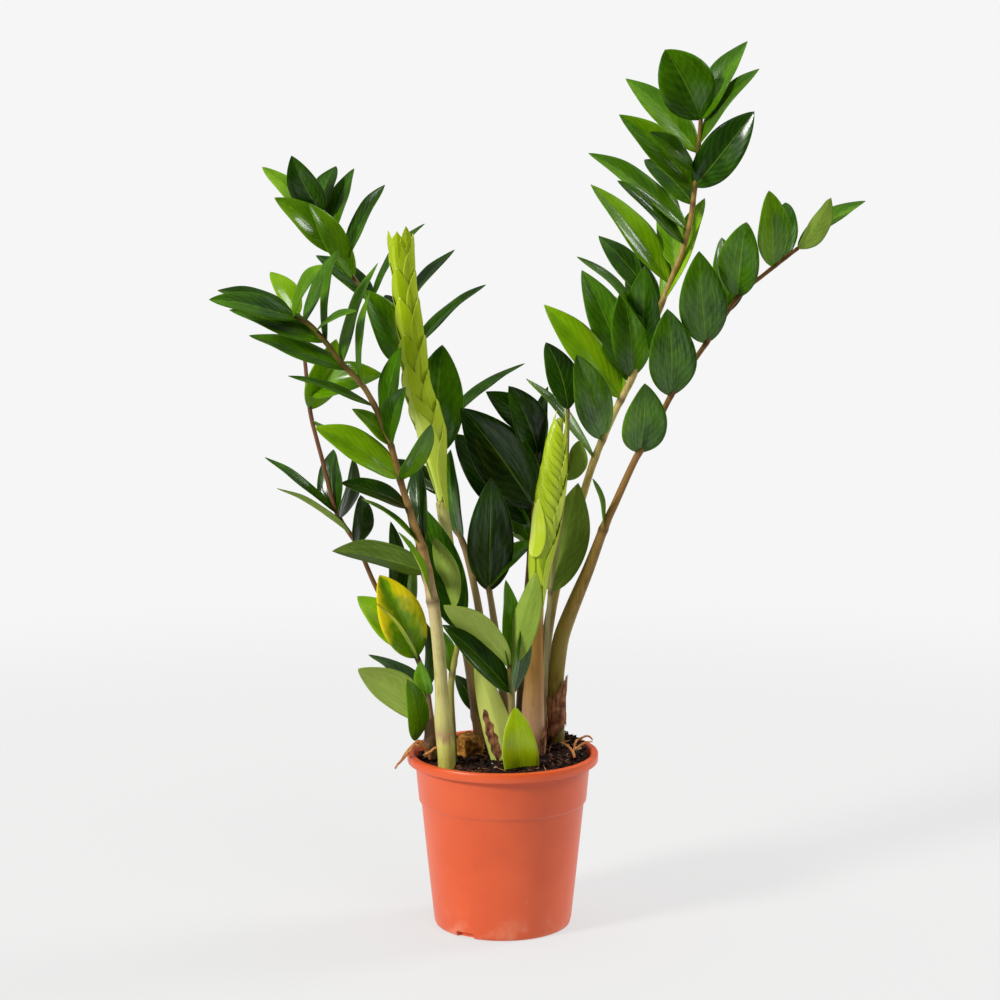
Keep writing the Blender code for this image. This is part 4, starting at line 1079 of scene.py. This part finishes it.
def plasticMaterial():
    look, desk, surface = newMaterial("terracottaPlastic", {"Specular IOR Level": 0.5, "Coat Weight": 0.0})
    place = objectPlace(desk)
    clouds = desk.noise(place, 14.0, 4.0)
    grain = desk.noise(place, 900.0, 3.0)
    colour = desk.ramp(clouds, potLook["body"])
    stretch = desk.add("ShaderNodeMapping", Vector=place, Rotation=(0.0, 0.5, 0.3), Scale=(1.0, 1.0, 0.12))
    scratches = desk.step(0.66, 0.74, desk.noise(stretch.outputs[0], 260.0, 4.0, 0.7))
    patches = desk.step(0.5, 0.7, desk.noise(place, 22.0, 3.0))
    scuffs = desk.math("MULTIPLY", desk.math("MULTIPLY", scratches, patches), 0.35)
    colour = desk.mix(scuffs, colour, potLook["scuff"])
    height = desk.add("ShaderNodeSeparateXYZ", Vector=place).outputs[2]
    nearRim = desk.step(0.135, 0.158, height)
    nearFoot = desk.step(0.03, 0.0, height)
    specks = desk.step(0.69, 0.73, desk.noise(place, 190.0, 3.0, 0.6))
    dirtShare = desk.math("MULTIPLY", specks, desk.math("ADD", desk.math("MULTIPLY", nearRim, 0.7), desk.math("MULTIPLY", nearFoot, 0.35)), clamp=True)
    colour = desk.mix(dirtShare, colour, potLook["dirt"])
    dustShare = desk.math("MULTIPLY", desk.math("MULTIPLY", desk.step(0.45, 0.7, desk.noise(place, 60.0, 4.0)), nearFoot), 0.22)
    colour = desk.mix(dustShare, colour, linear(236, 190, 160))
    desk.feed(surface, "Base Color", colour)
    rough = desk.math("ADD", desk.math("MULTIPLY", scuffs, 0.5), desk.math("MULTIPLY_ADD", clouds, 0.12))
    surface.inputs["Roughness"].default_value = potLook["rough"]
    rough.node.inputs[1].links[0].from_node.inputs[2].default_value = potLook["rough"] - 0.06
    desk.feed(surface, "Roughness", rough)
    relief = desk.math("ADD", desk.math("MULTIPLY", grain, 0.25), desk.math("MULTIPLY", clouds, 2.0))
    bump = desk.add("ShaderNodeBump", Height=relief, Strength=0.35, Distance=0.0006)
    desk.feed(surface, "Normal", bump.outputs[0])
    return look


def spunMesh(name, profile, steps):
    shape = bmesh.new()
    spots = [shape.verts.new((radius * mm, 0.0, height * mm)) for radius, height in profile]
    edges = [shape.edges.new(pair) for pair in zip(spots, spots[1:])]
    bmesh.ops.spin(shape, geom=spots + edges, cent=(0, 0, 0), axis=(0, 0, 1), dvec=(0, 0, 0),
                   angle=math.radians(360.0), steps=steps, use_merge=True, use_duplicate=False)
    bmesh.ops.remove_doubles(shape, verts=shape.verts, dist=0.00002)
    bmesh.ops.recalc_face_normals(shape, faces=shape.faces)
    mesh = bpy.data.meshes.new(name)
    shape.to_mesh(mesh)
    shape.free()
    return mesh


def cutOut(item, tools):
    for tool in tools:
        step = item.modifiers.new("cut", "BOOLEAN")
        step.operation = "DIFFERENCE"
        step.solver = "EXACT"
        step.object = tool
    bpy.context.view_layer.update()
    graph = bpy.context.evaluated_depsgraph_get()
    mesh = bpy.data.meshes.new_from_object(item.evaluated_get(graph))
    item.modifiers.clear()
    item.data = mesh
    for tool in tools:
        bpy.data.objects.remove(tool, do_unlink=True)


def buildPot():
    mesh = spunMesh("nursery_pot_shell", potShape["profile"], potShape["steps"])
    pot = bpy.data.objects.new("nursery_pot_shell", mesh)
    bpy.context.scene.collection.objects.link(pot)
    tools = []
    for index, turn in enumerate(potShape["notchTurns"]):
        shape = bmesh.new()
        bmesh.ops.create_cube(shape, size=1.0)
        bmesh.ops.scale(shape, vec=(12.0 * mm, potShape["notchWidth"] * mm, (potShape["notchHeight"] + 2.0) * mm), verts=shape.verts)
        upright = [edge for edge in shape.edges if abs(edge.verts[0].co.x - edge.verts[1].co.x) > 0.001 and edge.verts[0].co.z > 0]
        bmesh.ops.bevel(shape, geom=upright, offset=1.2 * mm, segments=4, profile=0.5, affect="EDGES", material=-1)
        place = Vector((61.0 * mm, 0.0, (0.5 * potShape["notchHeight"] - 1.0) * mm))
        bmesh.ops.translate(shape, vec=place, verts=shape.verts)
        bmesh.ops.rotate(shape, cent=(0, 0, 0), matrix=Matrix.Rotation(math.radians(turn), 3, "Z"), verts=shape.verts)
        tools.append(shape)
    for index in range(6):
        angle = math.radians(60.0 * index + potShape["drainTurn"])
        shape = bmesh.new()
        bmesh.ops.create_cone(shape, cap_ends=True, segments=24, radius1=potShape["drainRadius"] * mm,
                              radius2=potShape["drainRadius"] * mm, depth=0.012)
        circle = potShape["drainCircle"] * mm
        bmesh.ops.translate(shape, vec=(circle * math.cos(angle), circle * math.sin(angle), 0.0065), verts=shape.verts)
        tools.append(shape)
    cutters = []
    for index, shape in enumerate(tools):
        mesh = bpy.data.meshes.new(f"potCut{index}")
        shape.to_mesh(mesh)
        shape.free()
        cutters.append(bpy.data.objects.new(f"potCut{index}", mesh))
        bpy.context.scene.collection.objects.link(cutters[-1])
    cutOut(pot, cutters)
    pot.data.materials.clear()
    pot.data.materials.append(plasticMaterial())
    pot.data.shade_smooth()
    pot.data.set_sharp_from_angle(angle=math.radians(38.0))
    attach(pot, "root")
    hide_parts("nursery_pot")


buildPot()
print("pot built")

# ---- soil

soilShape = {"level": 153.0, "radius": 75.6, "bottomRadius": 59.0, "segments": 128, "rings": 44}


def soilHeight(x, y):
    # x and y in mm
    tilt = 3.2 * x / 76.0 + 3.0 * y / 76.0
    bumps = 1.3 * math.sin(0.16 * x + 0.5) * math.cos(0.14 * y) + 0.9 * math.sin(0.31 * x - 0.23 * y)
    heap = 6.0 * math.exp(-((x - 44.0) ** 2 + (y - 30.0) ** 2) / 900.0) + 3.0 * math.exp(-((x + 36.0) ** 2 + (y - 34.0) ** 2) / 700.0)
    return soilShape["level"] + tilt + bumps + heap


def soilMaterial():
    look, desk, surface = newMaterial("peatSoil", {"Specular IOR Level": 0.2})
    place = objectPlace(desk)
    lumps = desk.noise(place, 120.0, 6.0, 0.7)
    fine = desk.noise(place, 700.0, 4.0, 0.7)
    shade = desk.math("ADD", desk.math("MULTIPLY", lumps, 0.6), desk.math("MULTIPLY", fine, 0.5))
    colour = desk.ramp(shade, [(0.3, linear(8, 5, 4)), (0.52, linear(28, 17, 13)), (0.68, linear(62, 38, 28)), (0.88, linear(110, 72, 50))])
    desk.feed(surface, "Base Color", colour)
    surface.inputs["Roughness"].default_value = 0.92
    bump = desk.add("ShaderNodeBump", Height=shade, Strength=0.9, Distance=0.003)
    desk.feed(surface, "Normal", bump.outputs[0])
    return look


def crumbMaterial(name, dark, light, rough=0.85):
    look, desk, surface = newMaterial(name, {"Specular IOR Level": 0.25})
    place = objectPlace(desk)
    patches = desk.noise(place, 150.0, 3.0, 0.6)
    fine = desk.noise(place, 900.0, 3.0)
    shade = desk.math("ADD", desk.math("MULTIPLY", patches, 0.8), desk.math("MULTIPLY", fine, 0.25))
    desk.feed(surface, "Base Color", desk.ramp(shade, [(0.35, dark), (0.7, light)]))
    surface.inputs["Roughness"].default_value = rough
    bump = desk.add("ShaderNodeBump", Height=fine, Strength=0.6, Distance=0.0008)
    desk.feed(surface, "Normal", bump.outputs[0])
    return look


def buildSoil():
    shape = bmesh.new()
    rings = soilShape["rings"]
    spots = [shape.verts.new((soilShape["radius"] * mm * step / rings, 0.0, 0.0)) for step in range(rings + 1)]
    edges = [shape.edges.new(pair) for pair in zip(spots, spots[1:])]
    bmesh.ops.spin(shape, geom=spots + edges, cent=(0, 0, 0), axis=(0, 0, 1), dvec=(0, 0, 0),
                   angle=math.radians(360.0), steps=soilShape["segments"], use_merge=True, use_duplicate=False)
    bmesh.ops.remove_doubles(shape, verts=shape.verts, dist=0.00002)
    border = [edge for edge in shape.edges if edge.is_boundary]
    for vert in shape.verts:
        x, y = vert.co.x / mm, vert.co.y / mm
        edge = smoothShare(70.0, 75.6, math.hypot(x, y))
        grit = 2.6 * noise.noise(Vector((x, y, 0.0)) * 0.11) + 2.0 * noise.noise(Vector((x, y, 3.0)) * 0.33)
        grit += 0.9 * abs(noise.noise(Vector((x, y, 7.0)) * 0.9))
        vert.co.z = (soilHeight(x, y) + grit * (1.0 - 0.5 * edge) - 1.2 * edge) * mm
    for drop in ((112.0, 70.0), (9.0, soilShape["bottomRadius"])):
        pushed = bmesh.ops.extrude_edge_only(shape, edges=border)
        ring = [part for part in pushed["geom"] if isinstance(part, bmesh.types.BMVert)]
        border = [part for part in pushed["geom"] if isinstance(part, bmesh.types.BMEdge) and part.is_boundary]
        for vert in ring:
            flat = Vector((vert.co.x, vert.co.y, 0.0)).normalized() * drop[1] * mm
            vert.co = (flat.x, flat.y, drop[0] * mm)
    bmesh.ops.holes_fill(shape, edges=border, sides=0)
    bmesh.ops.recalc_face_normals(shape, faces=shape.faces)
    mesh = bpy.data.meshes.new("potting_soil_mass")
    shape.to_mesh(mesh)
    shape.free()
    mesh.materials.append(soilMaterial())
    mesh.shade_smooth()
    soil = bpy.data.objects.new("potting_soil_mass", mesh)
    bpy.context.scene.collection.objects.link(soil)
    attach(soil, "root")
    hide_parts("potting_soil")


crumbSorts = {
    "darkCrumbs": {"count": 1500, "size": (1.6, 5.4), "flat": (0.6, 1.0), "long": (0.8, 1.4), "dark": linear(10, 6, 5), "light": linear(58, 34, 24)},
    "barkChips": {"count": 260, "size": (2.4, 5.6), "flat": (0.25, 0.5), "long": (1.0, 2.0), "dark": linear(34, 17, 12), "light": linear(112, 66, 44)},
    "tanChips": {"count": 70, "size": (1.6, 3.6), "flat": (0.2, 0.4), "long": (1.6, 3.2), "dark": linear(122, 84, 52), "light": linear(206, 170, 128)},
    "perlite": {"count": 60, "size": (0.9, 2.0), "flat": (0.7, 1.0), "long": (0.9, 1.2), "dark": linear(190, 184, 172), "light": linear(236, 232, 224)},
}


def buildCrumbs(title, sort, seedBase):
    pick = random.Random(seedBase)
    shape = bmesh.new()
    for index in range(sort["count"]):
        angle = pick.uniform(0.0, math.tau)
        far = 74.0 * math.sqrt(pick.random())
        x, y = far * math.cos(angle), far * math.sin(angle)
        size = pick.uniform(*sort["size"]) * 0.5 * mm
        made = bmesh.ops.create_icosphere(shape, subdivisions=1, radius=size)["verts"]
        for vert in made:
            vert.co *= 1.0 + 0.35 * noise.noise(vert.co * 900.0 + Vector((index, 0.0, 0.0)))
        bmesh.ops.scale(shape, vec=(pick.uniform(*sort["long"]), 1.0, pick.uniform(*sort["flat"])), verts=made)
        turn = Matrix.Rotation(pick.uniform(0, math.tau), 3, "Z") @ Matrix.Rotation(pick.uniform(-0.6, 0.6), 3, "X") @ Matrix.Rotation(pick.uniform(-0.5, 0.5), 3, "Y")
        bmesh.ops.rotate(shape, cent=(0, 0, 0), matrix=turn, verts=made)
        height = soilHeight(x, y) + 2.2 * noise.noise(Vector((x, y, 0.0)) * 0.11) + pick.uniform(0.0, 1.6)
        bmesh.ops.translate(shape, vec=(x * mm, y * mm, height * mm), verts=made)
    mesh = bpy.data.meshes.new("soil_" + title)
    shape.to_mesh(mesh)
    shape.free()
    mesh.materials.append(crumbMaterial(title, sort["dark"], sort["light"]))
    crumbs = bpy.data.objects.new("soil_" + title, mesh)
    bpy.context.scene.collection.objects.link(crumbs)
    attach(crumbs, "root")


buildSoil()
for number, (title, sort) in enumerate(crumbSorts.items()):
    buildCrumbs(title, sort, 40 + number)

fibres = {"count": 46, "radius": (0.2, 0.45), "length": (8.0, 22.0)}


def buildFibres():
    pick = random.Random(77)
    shape = bmesh.new()
    for index in range(fibres["count"]):
        angle = pick.uniform(0.0, math.tau)
        far = 68.0 * math.sqrt(pick.random())
        x, y = far * math.cos(angle), far * math.sin(angle)
        length = pick.uniform(*fibres["length"]) * mm
        radius = pick.uniform(*fibres["radius"]) * mm
        made = bmesh.ops.create_cone(shape, cap_ends=True, segments=6, radius1=radius, radius2=radius * 0.5, depth=length)["verts"]
        tilt = Matrix.Rotation(pick.uniform(0, math.tau), 3, "Z") @ Matrix.Rotation(pick.uniform(1.25, 1.7), 3, "X")
        bmesh.ops.rotate(shape, cent=(0, 0, 0), matrix=tilt, verts=made)
        bmesh.ops.translate(shape, vec=(x * mm, y * mm, (soilHeight(x, y) + 2.2) * mm), verts=made)
    mesh = bpy.data.meshes.new("soil_fibres")
    shape.to_mesh(mesh)
    shape.free()
    mesh.materials.append(dryRoot)
    mesh.shade_smooth()
    item = bpy.data.objects.new("soil_fibres", mesh)
    bpy.context.scene.collection.objects.link(item)
    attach(item, "root")


buildFibres()
print("soil built")

# ---- floor, light and camera

studio = {
    "paper": (0.2, 0.2, 0.2, 1.0), "paperGlow": 0.6, "paperReach": (0.9, 1.7),
    "airShade": (0.922, 0.922, 0.922, 1.0), "airFront": 0.04, "airSide": 0.55, "airTop": 0.8, "mirrorShare": 0.45,
}


def buildAir():
    # the backdrop is an even pale tone; the light it gives is strong above and weak from the front
    world = bpy.data.worlds.new("studioAir")
    world.use_nodes = True
    desk = NodeDesk(world.node_tree)
    seen = world.node_tree.nodes["Background"]
    seen.inputs["Color"].default_value = studio["airShade"]
    way = desk.add("ShaderNodeTexCoord").outputs["Generated"]
    split = desk.add("ShaderNodeSeparateXYZ", Vector=way)
    back = desk.step(-0.75, 0.35, split.outputs[1])
    level = desk.math("MULTIPLY_ADD", back, studio["airSide"] - studio["airFront"])
    level.node.inputs[2].default_value = studio["airFront"]
    high = desk.step(0.35, 0.95, split.outputs[2])
    level = desk.math("ADD", level, desk.math("MULTIPLY", high, studio["airTop"] - studio["airSide"]))
    rays = desk.add("ShaderNodeLightPath")
    # glossy faces mirror a dimmer room, so dark leaves stay deep in colour
    dim = desk.math("MULTIPLY_ADD", rays.outputs["Is Glossy Ray"], studio["mirrorShare"] - 1.0)
    dim.node.inputs[2].default_value = 1.0
    glow = desk.add("ShaderNodeBackground", Strength=desk.math("MULTIPLY", level, dim))
    pick = desk.add("ShaderNodeMixShader")
    world.node_tree.links.new(rays.outputs["Is Camera Ray"], pick.inputs[0])
    world.node_tree.links.new(glow.outputs[0], pick.inputs[1])
    world.node_tree.links.new(seen.outputs[0], pick.inputs[2])
    world.node_tree.links.new(pick.outputs[0], world.node_tree.nodes["World Output"].inputs["Surface"])
    bpy.context.scene.world = world


def buildStudio():
    mesh = bpy.data.meshes.new("paper_floor")
    shape = bmesh.new()
    bmesh.ops.create_circle(shape, cap_ends=True, segments=96, radius=studio["paperReach"][1] + 0.1)
    shape.to_mesh(mesh)
    shape.free()
    look, desk, surface = newMaterial("palePaper", {"Roughness": 0.95, "Specular IOR Level": 0.0})
    surface.inputs["Base Color"].default_value = studio["paper"]
    surface.inputs["Emission Color"].default_value = (1.0, 1.0, 1.0, 1.0)
    surface.inputs["Emission Strength"].default_value = studio["paperGlow"]
    far = desk.add("ShaderNodeVectorMath", i0=objectPlace(desk))
    far.operation = "LENGTH"
    desk.feed(surface, "Alpha", desk.step(studio["paperReach"][1], studio["paperReach"][0], far.outputs["Value"]))
    mesh.materials.append(look)
    floor = bpy.data.objects.new("paper_floor", mesh)
    bpy.context.scene.collection.objects.link(floor)
    buildAir()
    # name, place, strength in watts a square metre, size of the glow in degrees, tint
    lamps = [
        ("leftKey", (-1.85, -1.3, 1.25), 2.6, 13.0, (1.0, 0.985, 0.96)),
        ("rightBack", (1.6, 0.7, 1.0), 1.3, 22.0, (1.0, 1.0, 1.0)),
        ("frontHigh", (0.5, -1.0, 1.5), 0.65, 30.0, (1.0, 1.0, 1.0)),
        ("overhead", (-0.3, 0.3, 2.2), 0.5, 50.0, (1.0, 1.0, 1.0)),
    ]
    for name, place, power, size, tint in lamps:
        light = bpy.data.lights.new(name, "SUN")
        light.energy = power
        light.angle = math.radians(size)
        light.color = tint
        lamp = bpy.data.objects.new(name, light)
        lamp.location = place
        lamp.visible_glossy = name in ("leftKey", "rightBack")
        lamp.rotation_euler = (-Vector(place)).to_track_quat("-Z", "Y").to_euler()
        bpy.context.scene.collection.objects.link(lamp)
    lens = bpy.data.cameras.new("frontCamera")
    lens.lens = 91.26
    lens.sensor_width = 36.0
    lens.clip_end = 60.0
    camera = bpy.data.objects.new("frontCamera", lens)
    camera.location = (-0.0024, -2.2, 0.705)
    camera.rotation_euler = (math.radians(90.0 - 8.35), 0.0, 0.0)
    bpy.context.scene.collection.objects.link(camera)
    bpy.context.scene.camera = camera
    bpy.context.scene.view_settings.view_transform = "Standard"


buildStudio()
print("studio set")
